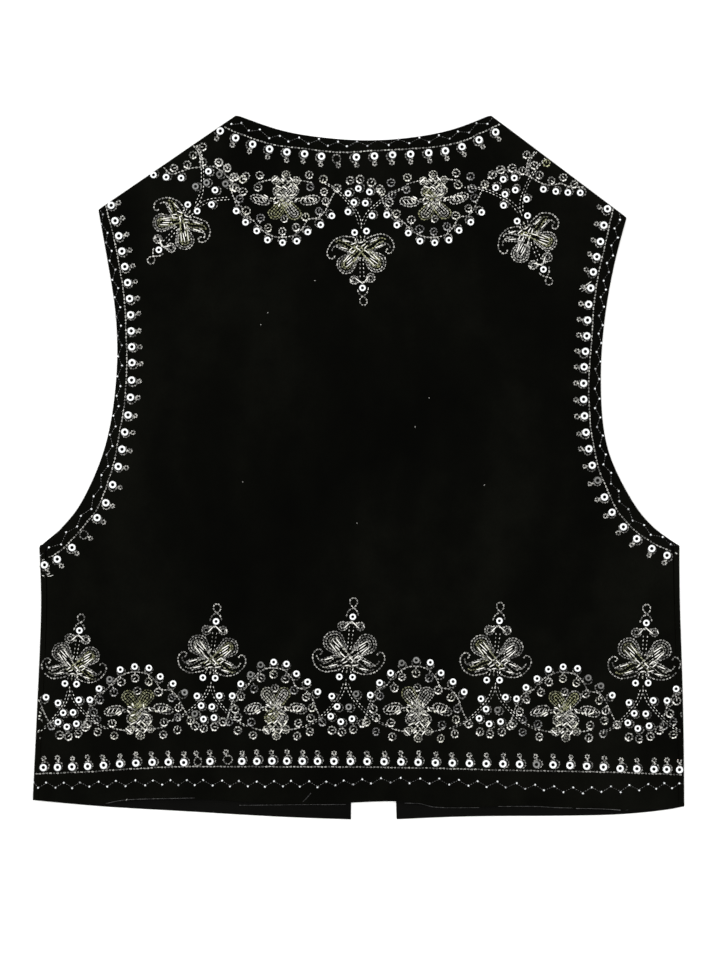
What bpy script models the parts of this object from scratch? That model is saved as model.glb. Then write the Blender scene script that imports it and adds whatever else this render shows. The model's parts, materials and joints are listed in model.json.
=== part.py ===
"""Embroidered folk vest, laid flat on its fronts with the back up.

Three cloth panels are cut and sewn: a back and two fronts. The fronts lie on the
surface. At each side they roll up round the fold and meet the back on top of it, and
along the shoulders both panels roll half way round and meet at the outline.
+X is to the right and +Y towards the neck, seen from above. Tables are in millimetres.
"""

import math

import bmesh
import bpy
from mathutils import Vector

MM = 0.001

# Cloth and seams
CLOTH = 1.8 * MM
SEAM_GAP = 0.3 * MM
LAYER_GAP = 0.5 * MM
EDGE_ROUND = 0.45 * MM

# Side fold: the front's cloth turns half round, and ends in a flat tip on top at the seam
SIDE_FOLD_RADIUS = 2.5 * MM
SIDE_FOLD_TIP = 0.7 * MM
SIDE_FOLD_HEIGHT = 2 * SIDE_FOLD_RADIUS + CLOTH
SIDE_FOLD_LENGTH = math.pi * SIDE_FOLD_RADIUS + SIDE_FOLD_TIP
SIDE_FOLD_REACH = SIDE_FOLD_HEIGHT / 2
SIDE_FOLD_STEPS = 6
SIDE_LAST_STEP = 18 * MM
SIDE_SPREAD = 24 * MM
UNDERARM_RISE = 0.8 * MM

# Shoulder fold: each panel turns a quarter round, and ends upright at the seam
SHOULDER_FOLD_HEIGHT = 6.0 * MM
SHOULDER_FOLD_RADIUS = 1.35 * MM
SHOULDER_FOLD_TIP = (SHOULDER_FOLD_HEIGHT - CLOTH - SEAM_GAP) / 2 - SHOULDER_FOLD_RADIUS
SHOULDER_FOLD_TURN = math.pi / 2 * SHOULDER_FOLD_RADIUS
SHOULDER_FOLD_LENGTH = SHOULDER_FOLD_TURN + SHOULDER_FOLD_TIP
SHOULDER_FOLD_REACH = SHOULDER_FOLD_RADIUS + CLOTH / 2
SHOULDER_FOLD_STEPS = 3
SHOULDER_LAST_STEP = 9 * MM
SHOULDER_SPREAD = 26 * MM
NECK_CORNER_EASE = 0.3 * MM

# Heights of the middle of the cloth
FRONT_LEVEL = CLOTH / 2
BACK_LEVEL = 1.5 * CLOTH + LAYER_GAP
BACK_LEVEL_AT_SIDE = SIDE_FOLD_HEIGHT - CLOTH / 2
BACK_LEVEL_AT_SHOULDER = SHOULDER_FOLD_HEIGHT - CLOTH / 2
FLOOR_CLEARANCE = 0.6 * MM
SAG_RAMP = 34 * MM

# The front's armhole is cut a little deeper than the back's, so that it stays under it
FRONT_ARMHOLE_DEEPER = 2.5 * MM

# Outermost line of each side fold, from the hem up to the seam's top (x, y)
SIDE = {
    "left": [(-234.4, -239.3), (-231.7, -182.0), (-228.0, -95.0), (-229.7, -57.8)],
    "right": [(234.4, -243.9), (233.6, -170.0), (230.7, -82.0), (230.9, -57.0)],
}
ARMHOLE = {
    "left": [(-214.8, -44.6), (-201.5, -29.8), (-182.7, 12.4), (-174.4, 60.0),
             (-174.1, 106.0), (-181.2, 152.8), (-186.8, 185.5)],
    "right": [(214.3, -45.2), (200.7, -30.8), (179.1, 12.4), (174.2, 60.0),
              (176.9, 106.0), (184.3, 148.0), (192.6, 179.8)],
}
NECK_POINT = {"left": (-88.1, 253.2), "right": (95.2, 253.2)}
NECKLINE = [(-54.9, 242.1), (-20.0, 236.8), (9.0, 235.3), (38.0, 237.4), (68.0, 242.9)]
BACK_HEM = [(-187.0, -242.1), (-160.0, -239.2), (-112.0, -238.0), (-60.0, -242.1),
            (-10.0, -241.2), (35.0, -239.9), (66.0, -244.7), (122.0, -242.2),
            (160.0, -245.4), (200.0, -246.2)]
FRONT_HEM = {
    "left": [(-186.0, -243.9), (-125.5, -247.2), (-60.0, -251.2), (-5.4, -253.2)],
    "right": [(204.3, -249.0), (150.0, -250.6), (80.0, -250.9), (27.4, -253.1)],
}
# Front edge from the hem up: straight, then the V of the neck
FRONT_EDGE = {
    "left": [(-4.6, -160.0), (-3.8, -60.0), (-3.0, 40.0)],
    "right": [(24.6, -160.0), (21.0, -60.0), (17.0, 40.0)],
}
FRONT_NECKLINE = {
    "left": [(-7.5, 75.0), (-30.0, 135.0), (-62.0, 205.0)],
    "right": [(20.5, 75.0), (41.0, 135.0), (70.0, 205.0)],
}

# Soft folds of the back: centre, direction from +X, half length, half width, height
FOLDS = [
    {"name": "left_blade", "x": -131, "y": 34, "turn": 78, "long": 88, "wide": 17, "high": 2.2},
    {"name": "right_blade", "x": 122, "y": 48, "turn": 104, "long": 84, "wide": 18, "high": 2.0},
    {"name": "left_waist", "x": -41, "y": -66, "turn": 88, "long": 52, "wide": 13, "high": 1.4},
    {"name": "right_waist", "x": 146, "y": -112, "turn": 82, "long": 46, "wide": 15, "high": 1.3},
    {"name": "centre", "x": 8, "y": 62, "turn": 91, "long": 60, "wide": 12, "high": 0.9},
    {"name": "left_underarm", "x": -178, "y": -76, "turn": 152, "long": 40, "wide": 14, "high": 1.2},
    {"name": "right_underarm", "x": 182, "y": -70, "turn": 30, "long": 38, "wide": 13, "high": 1.1},
    {"name": "hem_1", "x": -186, "y": -232, "turn": 96, "long": 34, "wide": 15, "high": 1.5},
    {"name": "hem_2", "x": -118, "y": -240, "turn": 86, "long": 42, "wide": 21, "high": 2.3},
    {"name": "hem_3", "x": -38, "y": -236, "turn": 93, "long": 30, "wide": 16, "high": 1.5},
    {"name": "hem_4", "x": 36, "y": -240, "turn": 84, "long": 44, "wide": 15, "high": 2.2},
    {"name": "hem_5", "x": 112, "y": -238, "turn": 97, "long": 36, "wide": 20, "high": 1.9},
    {"name": "hem_6", "x": 178, "y": -240, "turn": 90, "long": 30, "wide": 14, "high": 1.3},
]

# Rows and columns of the panels
EDGE_STEPS = [0.0, 3.0 * MM, 10.0 * MM]
NECK_STEPS = [0.0, 2.5 * MM, 7.0 * MM]
CURVE_STEPS = 16
BACK_SHOULDER_COLUMNS = 7
BACK_NECK_COLUMNS = 13
FRONT_COLUMNS = 6
BACK_SIDE_ROWS = 10
BACK_ARMHOLE_ROWS = 15
FRONT_SIDE_ROWS = 5
FRONT_ARMHOLE_ROWS = 8
FRONT_EDGE_SHARE = 0.62

CLOTH_COLOUR = (0.006, 0.006, 0.006, 1.0)
CLOTH_ROUGHNESS = 0.9
SHARP_TURN = math.radians(55)


def vectors(points):
    """Millimetre pairs as plane vectors in metres."""
    return [Vector((x * MM, y * MM)) for x, y in points]


def smooth_line(points):
    """Close points along the smooth curve through these."""
    fine = []
    ends = [points[0] * 2 - points[1], *points, points[-1] * 2 - points[-2]]
    for before, start, end, after in zip(ends, ends[1:], ends[2:], ends[3:]):
        for step in range(CURVE_STEPS):
            t = step / CURVE_STEPS
            fine.append(
                0.5 * (2 * start + (end - before) * t
                       + (2 * before - 5 * start + 4 * end - after) * t ** 2
                       + (3 * start - before - 3 * end + after) * t ** 3)
            )
    return [*fine, points[-1]]


def running_lengths(line):
    """Each point's distance from the start of its line."""
    lengths = [0.0]
    for start, end in zip(line, line[1:]):
        lengths.append(lengths[-1] + (end - start).length)
    return lengths


def spaced(points, count, first=(0.0,), last=(0.0,)):
    """Points of the smooth curve: these distances from each end, and even steps between."""
    fine = smooth_line(points)
    lengths = running_lengths(fine)
    high = [lengths[-1] - distance for distance in reversed(last)]
    gap = (high[0] - first[-1]) / count
    between = [first[-1] + gap * k for k in range(1, count)]
    found = []
    place = 0
    for wanted in [*first, *between, *high]:
        while place < len(fine) - 2 and lengths[place + 1] < wanted:
            place += 1
        share = share_of(wanted, lengths[place], lengths[place + 1])
        found.append(fine[place].lerp(fine[place + 1], share))
    return found


def joined(*runs):
    """One list from several that share their end points."""
    line = list(runs[0])
    for run in runs[1:]:
        line += run[1:]
    return line


def share_of(value, low, high):
    return (value - low) / (high - low)


def mean_shares(first, second):
    """How far along two lines each pair of their points lies, from 0 to 1."""
    a, b = running_lengths(first), running_lengths(second)
    return [(x / a[-1] + y / b[-1]) / 2 for x, y in zip(a, b)]


def curved_patch(bottom, top, left, right):
    """Rows of plane points that fill four edge curves, from the hem up."""
    across = mean_shares(bottom, top)
    up = mean_shares(left, right)
    rows = []
    for j, v in enumerate(up):
        row = []
        for i, u in enumerate(across):
            edges = (bottom[i] * (1 - v) + top[i] * v) + (left[j] * (1 - u) + right[j] * u)
            corners = (bottom[0] * (1 - u) + bottom[-1] * u) * (1 - v)
            corners += (top[0] * (1 - u) + top[-1] * u) * v
            row.append(edges - corners)
        rows.append(row)
    return rows


def shoulder_frame(side):
    """A point on the shoulder line and the unit vector that points from it into the cloth."""
    tip = Vector(ARMHOLE[side][-1]) * MM
    neck = Vector(NECK_POINT[side]) * MM
    along = (neck - tip).normalized()
    inward = Vector((along.y, -along.x)) if side == "left" else Vector((-along.y, along.x))
    return tip, inward


def round_shoulder(point, level, side, turn_up):
    """Carries a laid point round the shoulder fold: its place and its height."""
    tip, inward = shoulder_frame(side)
    inside = (point - tip).dot(inward)
    if inside >= SHOULDER_FOLD_REACH:
        return point, level
    past = SHOULDER_FOLD_REACH - inside
    angle = min(past, SHOULDER_FOLD_TURN) / SHOULDER_FOLD_RADIUS
    upright = max(past - SHOULDER_FOLD_TURN, 0.0)
    laid = SHOULDER_FOLD_REACH - SHOULDER_FOLD_RADIUS * math.sin(angle)
    rise = SHOULDER_FOLD_RADIUS * (1 - math.cos(angle)) + upright
    return point + inward * (laid - inside), level + (rise if turn_up else -rise)


def x_at(y, line):
    """The x of a line of rising points at this y."""
    for low, high in zip(line, line[1:]):
        if low.y <= y <= high.y:
            return low.lerp(high, share_of(y, low.y, high.y)).x
    return line[0].x if y < line[0].y else line[-1].x


def side_line(side):
    """The side fold's outermost line as a close run of points."""
    return smooth_line(vectors(SIDE[side]))


def round_side(point, level, side, line):
    """Carries a laid point of a front up round the side fold: its place and its height."""
    outward = -1 if side == "left" else 1
    start = x_at(point.y, line) - outward * SIDE_FOLD_REACH
    past = (point.x - start) * outward
    if past <= 0:
        return point, level
    turn = math.pi * SIDE_FOLD_RADIUS
    angle = min(past, turn) / SIDE_FOLD_RADIUS
    tip = max(past - turn, 0.0)
    x = start + outward * (SIDE_FOLD_RADIUS * math.sin(angle) - tip)
    return Vector((x, point.y)), level + SIDE_FOLD_RADIUS * (1 - math.cos(angle))


def distance_to(point, start, end):
    """Distance from a plane point to a straight stretch."""
    along = end - start
    share = min(max((point - start).dot(along) / along.length_squared, 0.0), 1.0)
    return (point - start - along * share).length


def faded(distance, spread):
    return math.exp(-((distance / spread) ** 2))


def soft_step(value):
    value = min(max(value, 0.0), 1.0)
    return value * value * (3 - 2 * value)


def fold_height(point):
    """How far the soft folds lift the back at this point."""
    height = 0.0
    for fold in FOLDS:
        turn = math.radians(fold["turn"])
        away = point - Vector((fold["x"], fold["y"])) * MM
        along = away.x * math.cos(turn) + away.y * math.sin(turn)
        across = away.y * math.cos(turn) - away.x * math.sin(turn)
        shape = faded(along, fold["long"] * MM) * faded(across, fold["wide"] * MM)
        height += fold["high"] * MM * shape
    return height


def sag_depth(point, front_edges):
    """How far the back sinks where no front lies under it."""
    left, right = (x_at(point.y, edge) for edge in front_edges)
    clear = min(point.x - left, right - point.x)
    most = BACK_LEVEL - CLOTH / 2 - FLOOR_CLEARANCE
    return most * soft_step(clear / SAG_RAMP)


def panel_object(name, rows, collection, material):
    """A panel from its rows of points: a grid with the cloth's thickness and round edges."""
    mesh = bpy.data.meshes.new(name)
    grid = bmesh.new()
    bmesh.ops.create_grid(grid, x_segments=len(rows[0]) - 1, y_segments=len(rows) - 1, size=0.5)
    verts = sorted(grid.verts, key=lambda v: (round(v.co.y, 5), round(v.co.x, 5)))
    for vert, point in zip(verts, [p for row in rows for p in row]):
        vert.co = point
    bmesh.ops.recalc_face_normals(grid, faces=grid.faces)
    if sum(face.normal.z for face in grid.faces) < 0:
        bmesh.ops.reverse_faces(grid, faces=grid.faces)
    grid.to_mesh(mesh)
    grid.free()
    panel = bpy.data.objects.new(name, mesh)
    collection.objects.link(panel)
    mesh.materials.append(material)
    wall = panel.modifiers.new("Cloth", "SOLIDIFY")
    wall.thickness = CLOTH
    wall.offset = 0.0
    edge = panel.modifiers.new("Turned edge", "BEVEL")
    edge.width = EDGE_ROUND
    edge.segments = 1
    edge.limit_method = "ANGLE"
    edge.angle_limit = SHARP_TURN
    mesh.shade_smooth()
    mesh.set_sharp_from_angle(angle=SHARP_TURN)
    return panel


def front_outline(side):
    """The laid-out front's four edges: hem, shoulder, side with armhole, and front edge."""
    outward = -1 if side == "left" else 1
    inset = Vector((outward * (SIDE_FOLD_LENGTH - SIDE_FOLD_REACH), 0.0))
    side_points = [p + inset for p in vectors(SIDE[side])]
    deeper = Vector((-outward * FRONT_ARMHOLE_DEEPER, 0.0))
    armhole_points = [p + deeper for p in vectors(ARMHOLE[side])]
    tip, inward = shoulder_frame(side)
    past_fold = inward * -(SHOULDER_FOLD_LENGTH - SHOULDER_FOLD_REACH)
    armhole_points[-1] = tip + past_fold
    neck_point = Vector(NECK_POINT[side]) * MM + past_fold
    at_fold = vectors(SIDE[side])[-1] + Vector((0.0, UNDERARM_RISE))

    side_edge = spaced(side_points, FRONT_SIDE_ROWS, EDGE_STEPS)
    armhole = spaced([side_points[-1], at_fold, *armhole_points], FRONT_ARMHOLE_ROWS,
                     side_fold_steps(), shoulder_steps())
    outer = joined(side_edge, armhole)

    straight_rows = round(len(outer) * FRONT_EDGE_SHARE)
    neckline_rows = len(outer) - straight_rows - len(shoulder_steps())
    straight = [vectors(FRONT_HEM[side])[-1], *vectors(FRONT_EDGE[side]),
                vectors(FRONT_NECKLINE[side])[0]]
    inner = joined(spaced(straight, straight_rows - 2, EDGE_STEPS),
                   spaced([*vectors(FRONT_NECKLINE[side]), neck_point], neckline_rows,
                          last=shoulder_steps()))

    column_steps = [*side_fold_steps(), SIDE_LAST_STEP]
    hem_points = [side_points[0], vectors(SIDE[side])[0], *vectors(FRONT_HEM[side])]
    hem = spaced(hem_points, FRONT_COLUMNS, column_steps, EDGE_STEPS)
    shoulder = spaced([armhole_points[-1], neck_point], FRONT_COLUMNS, column_steps, EDGE_STEPS)
    return hem, shoulder, outer, inner


def side_fold_steps():
    """Close steps from a front's side edge in, for its fold."""
    step = math.pi * SIDE_FOLD_RADIUS / SIDE_FOLD_STEPS
    return [0.0, *(SIDE_FOLD_TIP + step * k for k in range(SIDE_FOLD_STEPS + 1))]


def shoulder_steps():
    """Close steps from a shoulder's edge in, for its fold."""
    step = SHOULDER_FOLD_TURN / SHOULDER_FOLD_STEPS
    turn = [SHOULDER_FOLD_TIP + step * k for k in range(SHOULDER_FOLD_STEPS + 1)]
    return [0.0, *turn, SHOULDER_LAST_STEP]


def front_rows(side):
    """Rows of solid points of a front, with its side and shoulder carried round their folds."""
    hem, shoulder, outer, inner = front_outline(side)
    line = side_line(side)
    rows = []
    for row in curved_patch(hem, shoulder, outer, inner):
        placed = []
        for point in row:
            spot, level = round_side(point, FRONT_LEVEL, side, line)
            spot, level = round_shoulder(spot, level, side, turn_up=True)
            placed.append(Vector((spot.x, spot.y, level)))
        rows.append(placed if side == "left" else placed[::-1])
    return rows


def back_side(side):
    """The back's side edge and armhole, from the hem up to the shoulder's end."""
    outward = -1 if side == "left" else 1
    inset = Vector((-outward * (SIDE_FOLD_REACH + SIDE_FOLD_TIP + SEAM_GAP), 0.0))
    side_points = [p + inset for p in vectors(SIDE[side])]
    tip, inward = shoulder_frame(side)
    armhole_points = vectors(ARMHOLE[side])
    armhole_points[-1] = tip - inward * (SHOULDER_FOLD_LENGTH - SHOULDER_FOLD_REACH)
    return joined(spaced(side_points, BACK_SIDE_ROWS, EDGE_STEPS),
                  spaced([side_points[-1], *armhole_points], BACK_ARMHOLE_ROWS,
                         last=shoulder_steps()))


def back_rows(front_edges):
    """Rows of solid points of the back, at the heights where it lies on the fronts."""
    left, right = back_side("left"), back_side("right")
    necks = []
    for side in ("left", "right"):
        tip, inward = shoulder_frame(side)
        past_fold = SHOULDER_FOLD_LENGTH - SHOULDER_FOLD_REACH - NECK_CORNER_EASE
        necks.append(Vector(NECK_POINT[side]) * MM - inward * past_fold)
    top = joined(
        spaced([left[-1], necks[0]], BACK_SHOULDER_COLUMNS, EDGE_STEPS),
        spaced([necks[0], *vectors(NECKLINE), necks[1]], BACK_NECK_COLUMNS,
               NECK_STEPS, NECK_STEPS),
        spaced([necks[1], right[-1]], BACK_SHOULDER_COLUMNS, last=EDGE_STEPS),
    )
    hem_columns = len(top) + 1 - 2 * len(EDGE_STEPS)
    bottom = spaced([left[0], *vectors(BACK_HEM), right[0]], hem_columns,
                    EDGE_STEPS, EDGE_STEPS)

    rows = []
    for row in curved_patch(bottom, top, left, right):
        placed = []
        for point in row:
            side = "left" if point.x < 0 else "right"
            level = back_level(point, side, front_edges)
            spot, level = round_shoulder(point, level, side, turn_up=False)
            placed.append(Vector((spot.x, spot.y, level)))
        rows.append(placed)
    return rows


def back_level(point, side, front_edges):
    """Height of the middle of the back's cloth over the surface."""
    hem_corner, underarm = vectors(SIDE[side])[0], vectors(SIDE[side])[-1]
    tip, neck = Vector(ARMHOLE[side][-1]) * MM, Vector(NECK_POINT[side]) * MM
    to_side = max(distance_to(point, hem_corner, underarm) - SIDE_FOLD_REACH, 0.0)
    to_shoulder = max(distance_to(point, tip, neck) - SHOULDER_FOLD_REACH, 0.0)
    at_side = faded(to_side, SIDE_SPREAD)
    at_shoulder = faded(to_shoulder, SHOULDER_SPREAD)
    level = BACK_LEVEL - sag_depth(point, front_edges) * (1 - at_shoulder)
    level += (BACK_LEVEL_AT_SIDE - level) * at_side
    level += (BACK_LEVEL_AT_SHOULDER - level) * at_shoulder
    return level + fold_height(point) * (1 - at_side) * (1 - at_shoulder)


def cloth_material():
    """Black velvet."""
    material = bpy.data.materials.new("black_velvet")
    material.use_nodes = True
    surface = material.node_tree.nodes["Principled BSDF"]
    surface.inputs["Base Color"].default_value = CLOTH_COLOUR
    surface.inputs["Roughness"].default_value = CLOTH_ROUGHNESS
    surface.inputs["Metallic"].default_value = 0.0
    return material


def build_vest():
    for obj in list(bpy.data.objects):
        bpy.data.objects.remove(obj, do_unlink=True)
    vest = bpy.data.collections.new("folk_vest")
    bpy.context.scene.collection.children.link(vest)
    velvet = cloth_material()
    front_edges = []
    for side in ("left", "right"):
        front_edges.append(front_outline(side)[3])
        panel_object("front_" + side, front_rows(side), vest, velvet)
    panel_object("back", back_rows(front_edges), vest, velvet)


build_vest()
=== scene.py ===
"""Finish of a cropped black velvet folk vest, laid flat with its back up.

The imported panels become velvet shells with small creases. Chain stitch, cupped sequins
and seed beads are set on the side that shows: a trimmed row along the neck, armholes and
hem, and a border of palmettes, garlands and small flowers at the neck and above the hem.

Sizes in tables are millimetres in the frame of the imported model, seen from above.
"""

import json
import math
import random
from collections import namedtuple

import bmesh
import bpy
import numpy as np
from bpy.props import FloatProperty, FloatVectorProperty, IntProperty, PointerProperty
from mathutils import Matrix, Vector
from mathutils.bvhtree import BVHTree


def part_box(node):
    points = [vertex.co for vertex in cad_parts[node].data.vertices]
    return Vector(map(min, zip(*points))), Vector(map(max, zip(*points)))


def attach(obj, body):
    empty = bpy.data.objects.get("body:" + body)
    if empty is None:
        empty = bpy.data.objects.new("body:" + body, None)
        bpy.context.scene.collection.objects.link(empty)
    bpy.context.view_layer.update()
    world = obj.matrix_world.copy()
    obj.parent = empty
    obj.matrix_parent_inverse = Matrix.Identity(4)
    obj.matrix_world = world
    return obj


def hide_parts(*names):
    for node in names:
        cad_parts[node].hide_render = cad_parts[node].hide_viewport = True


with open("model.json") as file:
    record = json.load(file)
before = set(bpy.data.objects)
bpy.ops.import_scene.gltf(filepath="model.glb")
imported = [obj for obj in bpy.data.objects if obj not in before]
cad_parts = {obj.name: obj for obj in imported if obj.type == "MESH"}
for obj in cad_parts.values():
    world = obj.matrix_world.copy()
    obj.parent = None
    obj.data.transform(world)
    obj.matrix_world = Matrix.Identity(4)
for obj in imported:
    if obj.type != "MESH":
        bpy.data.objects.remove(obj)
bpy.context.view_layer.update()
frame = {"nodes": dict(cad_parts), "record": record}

bl_info = {
    "name": "Embroidered folk vest",
    "version": (1, 0, 0),
    "blender": (4, 5, 0),
    "location": "3D View > Sidebar > Vest",
    "description": "Cloth, embroidery, sequins and beads of a black velvet folk vest",
    "category": "Object",
}

MM = 0.001
SLOT_COLOURS = {row["slot"]: row["base_color"] for row in frame["record"]["materials"]}

# Tones of the thread, from tarnished grey over silver and cream to olive gold.
GREY = 0.04
SILVER = 0.32
CREAM = 0.6
OLIVE = 0.95

# Small creases, each a soft ridge: middle x and y, turn of its length from +X in degrees,
# half length, half width and height.
BACK_CREASES = (
    (-196, -222, 84, 26, 6, 0.8),
    (-171, -226, 96, 20, 5, 0.6),
    (-139, -223, 88, 27, 7, 0.9),
    (-104, -225, 99, 19, 5, 0.5),
    (-71, -223, 86, 24, 6, 0.8),
    (-33, -226, 93, 18, 5, 0.5),
    (2, -223, 84, 25, 7, 0.7),
    (44, -226, 97, 20, 6, 0.6),
    (83, -226, 88, 26, 7, 0.9),
    (121, -229, 95, 19, 5, 0.6),
    (158, -230, 83, 25, 6, 0.8),
    (193, -230, 92, 18, 5, 0.6),
    (-158, 22, 154, 30, 6, 0.7),
    (-150, -8, 142, 38, 7, 0.9),
    (-176, -52, 128, 34, 7, 0.8),
    (155, 12, 31, 32, 6, 0.8),
    (168, -34, 47, 40, 7, 0.9),
    (146, -70, 62, 42, 8, 0.7),
    (-64, 118, 70, 46, 9, 0.6),
    (48, 92, 104, 52, 9, 0.7),
    (-18, 10, 82, 56, 10, 0.6),
    (96, -14, 112, 48, 9, 0.6),
    (-102, -78, 78, 52, 9, 0.7),
)
FRONT_CREASES = (
    (-190, -214, 87, 28, 7, 0.5),
    (-128, -218, 95, 24, 6, 0.5),
    (-62, -216, 84, 30, 7, 0.6),
    (66, -216, 93, 27, 7, 0.5),
    (131, -220, 86, 24, 6, 0.6),
    (186, -221, 97, 26, 7, 0.5),
    (-120, -30, 118, 60, 10, 0.5),
    (118, -24, 63, 58, 10, 0.5),
    (-96, 96, 74, 52, 9, 0.5),
    (104, 88, 108, 54, 9, 0.5),
)

# Width in which the creases rise from a panel's side edges, and how much of it stays flat.
CREASE_FADE = 22
FLAT_SHARE = 0.25

# How near corners of a packed panel are one, and the bend up to which its triangles join.
WELD = 0.02 * MM
JOINED_BEND = math.radians(50)

# Bends of the cut edges, in degrees, that the smoothing leaves sharp.
SHARP_BENDS = (60, 130)

# Faces of a front that show the cloth's inside: least upward turn and greatest height.
INSIDE_TURN = 0.4
INSIDE_HEIGHT = 3.6 * MM

# Share of the cloth's colour that is left where the standing pile swallows the light.
PILE_DEPTH = 0.15

# Cloth pieces: packed panel, shell, its cut width, length and area.
PANELS = (
    ("front_left", "velvet_front_left", 0.234, 0.508, 0.089),
    ("front_right", "velvet_front_right", 0.212, 0.508, 0.083),
    ("back", "velvet_back", 0.460, 0.502, 0.190),
)

# Points of the chain stitch line under the hem's sequins.
HEM_LINE = (
    (-240.0, -220.2), (-200.0, -218.8), (-164.5, -216.7), (-130.0, -215.0), (-85.3, -214.9),
    (29.9, -215.6), (87.5, -217.1), (188.3, -219.2), (240.0, -220.9),
)
# Beads of the hem's waving rows: some of them, counted along, and the middle between the rows.
HEM_BEADS = (
    (1, -233.2, -228.0), (2, -229.7, -228.0), (7, -199.9, -227.9), (11, -174.1, -226.9),
    (15, -147.0, -226.4), (21, -111.6, -226.4), (25, -85.6, -227.1), (29, -60.6, -227.3),
    (35, -23.1, -227.3), (39, 2.5, -226.0), (43, 30.1, -224.6), (49, 71.8, -226.6),
    (53, 99.4, -227.7), (57, 126.6, -229.7), (61, 154.1, -231.8), (65, 181.3, -231.2),
    (69, 208.2, -229.2), (73, 231.0, -228.4), (74, 237.0, -228.2),
)
# Sequins of each trimmed row: some of them, counted from 0, and where they lie.
NECK_ROW = (
    (0, -99.2, 241.6), (1, -88.1, 236.6), (3, -64.0, 228.7), (5, -38.8, 225.4),
    (7, -14.4, 222.7), (9, 11.5, 224.0), (12, 50.5, 226.2), (14, 74.4, 230.3), (16, 98.4, 240.9),
)
LEFT_ARMHOLE_ROW = (
    (0, -177.5, 188.2), (2, -172.2, 166.3), (4, -167.9, 144.3), (6, -164.5, 121.3),
    (8, -163.3, 98.2), (10, -162.7, 75.2), (12, -163.9, 50.3), (14, -167.8, 25.5),
    (16, -172.6, 0.7), (18, -181.5, -25.3), (19, -187.8, -36.1), (21, -205.8, -57.5),
    (22, -216.3, -65.8), (23, -225.3, -69.9),
)
RIGHT_ARMHOLE_ROW = (
    (0, 178.8, 185.7), (2, 173.9, 162.3), (4, 168.8, 140.6), (6, 165.4, 117.2), (8, 164.0, 94.6),
    (10, 162.2, 72.2), (12, 161.8, 49.0), (14, 163.6, 25.3), (16, 167.9, 1.6), (17, 171.9, -9.4),
    (18, 176.8, -21.2), (19, 182.1, -32.0), (20, 190.4, -42.7), (21, 199.9, -51.2),
    (22, 210.6, -58.2), (23, 221.5, -63.1),
)
HEM_ROW = (
    (0, -226.2, -215.3), (2, -205.9, -215.1), (4, -183.1, -213.9), (6, -160.0, -212.2),
    (8, -136.6, -211.7), (9, -125.6, -212.0), (11, -106.7, -211.0), (13, -83.9, -211.0),
    (16, -51.4, -210.9), (18, -29.4, -211.1), (20, -5.9, -211.2), (23, 30.6, -211.5),
    (27, 79.7, -212.6), (33, 151.9, -214.0), (36, 188.0, -216.1), (38, 212.2, -216.6),
    (40, 230.4, -216.9),
)

# Trimmed edges: the row and which of its sequins are lost or dull; the side that the cloth
# lies on as the row runs; how far outside the row its line of stitches and its beads lie;
# how far apart the beads' two lines are; some of the beads, counted along, and their lengths
# along the row; and the side on which the rings show.
Edge = namedtuple("Edge", "row lost dull inside stitches beads apart counted hand")
EDGES = (
    Edge(
        row=NECK_ROW,
        lost=(7,),
        dull=(),
        inside=-1,
        stitches=3.9,
        beads=9.6,
        apart=3.5,
        counted=((1, 19.6), (3, 32.4), (5, 47.5), (8, 68.8), (14, 110.9), (20, 155.8), (28, 213.5)),
        hand=1,
    ),
    Edge(
        row=LEFT_ARMHOLE_ROW,
        lost=(20,),
        dull=(),
        inside=1,
        stitches=3.8,
        beads=8.7,
        apart=2.9,
        counted=((0, 12.0), (13, 99.8), (27, 200.4), (37, 282.9), (39, 299.4)),
        hand=1,
    ),
    Edge(
        row=RIGHT_ARMHOLE_ROW,
        lost=(),
        dull=(17,),
        inside=-1,
        stitches=3.8,
        beads=9.6,
        apart=3.1,
        counted=(
            (1, 13.7), (11, 77.2), (19, 129.0), (29, 197.5), (33, 225.8), (41, 290.7),
            (43, 306.5),
        ),
        hand=-1,
    ),
)
HEM_LOST = (10, 12)
HEM_DULL = (31,)
HEM_BEADS_APART = 3.7

# From a row's sequins to the small loops beyond them, and how large the rings under the
# sequins and those loops are.
EDGE_REACH = 5.6
HEM_REACH = 6.2
EDGE_RING = 3.2
EDGE_LOOP = 1.5

# Palmettes: foot x and y, turn from +Y to the right in degrees, and length from the foot to
# the tip's sequin; and that length as drawn.
HEM_PALMETTES = (
    (-206.7, -155.4, 9.3, 38.7),
    (-107.3, -151.3, 6.9, 41.0),
    (-9.0, -150.6, 6.4, 43.6),
    (96.8, -152.8, 6.0, 42.9),
    (203.7, -154.9, 4.1, 43.3),
)
NECK_PALMETTES = (
    (-119.2, 186.5, 218.9, 38.7),
    (1.5, 169.6, 178.1, 40.5),
    (117.6, 179.0, 157.3, 39.7),
)
PALMETTE_LENGTH = 43.6

# Groups at the palmettes' feet: x and y, turn, width and height against the drawn ones,
# negative where they stand upwards, dull sequins, and points of the right-hand leg.
HEM_GROUPS = (
    (-207.8, -156.0, -3.1, 0.85, 0.94, (), 5),
    (-106.0, -153.0, 3.8, 0.91, 0.88, (4,), 5),
    (-9.1, -150.7, -0.4, 0.99, 1.0, (1, 3), 5),
    (98.4, -153.3, 1.1, 1.0, 0.97, (3,), 5),
    (204.3, -155.2, -0.4, 0.99, 1.01, (), 5),
)
NECK_GROUPS = (
    (-118.9, 185.3, 43.6, 0.98, -0.98, (0, 2, 5, 6), 3),
    (1.7, 170.5, 4.0, 0.99, -0.93, (), 5),
    (117.9, 179.4, -19.8, 0.97, -0.96, (), 5),
)

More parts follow.
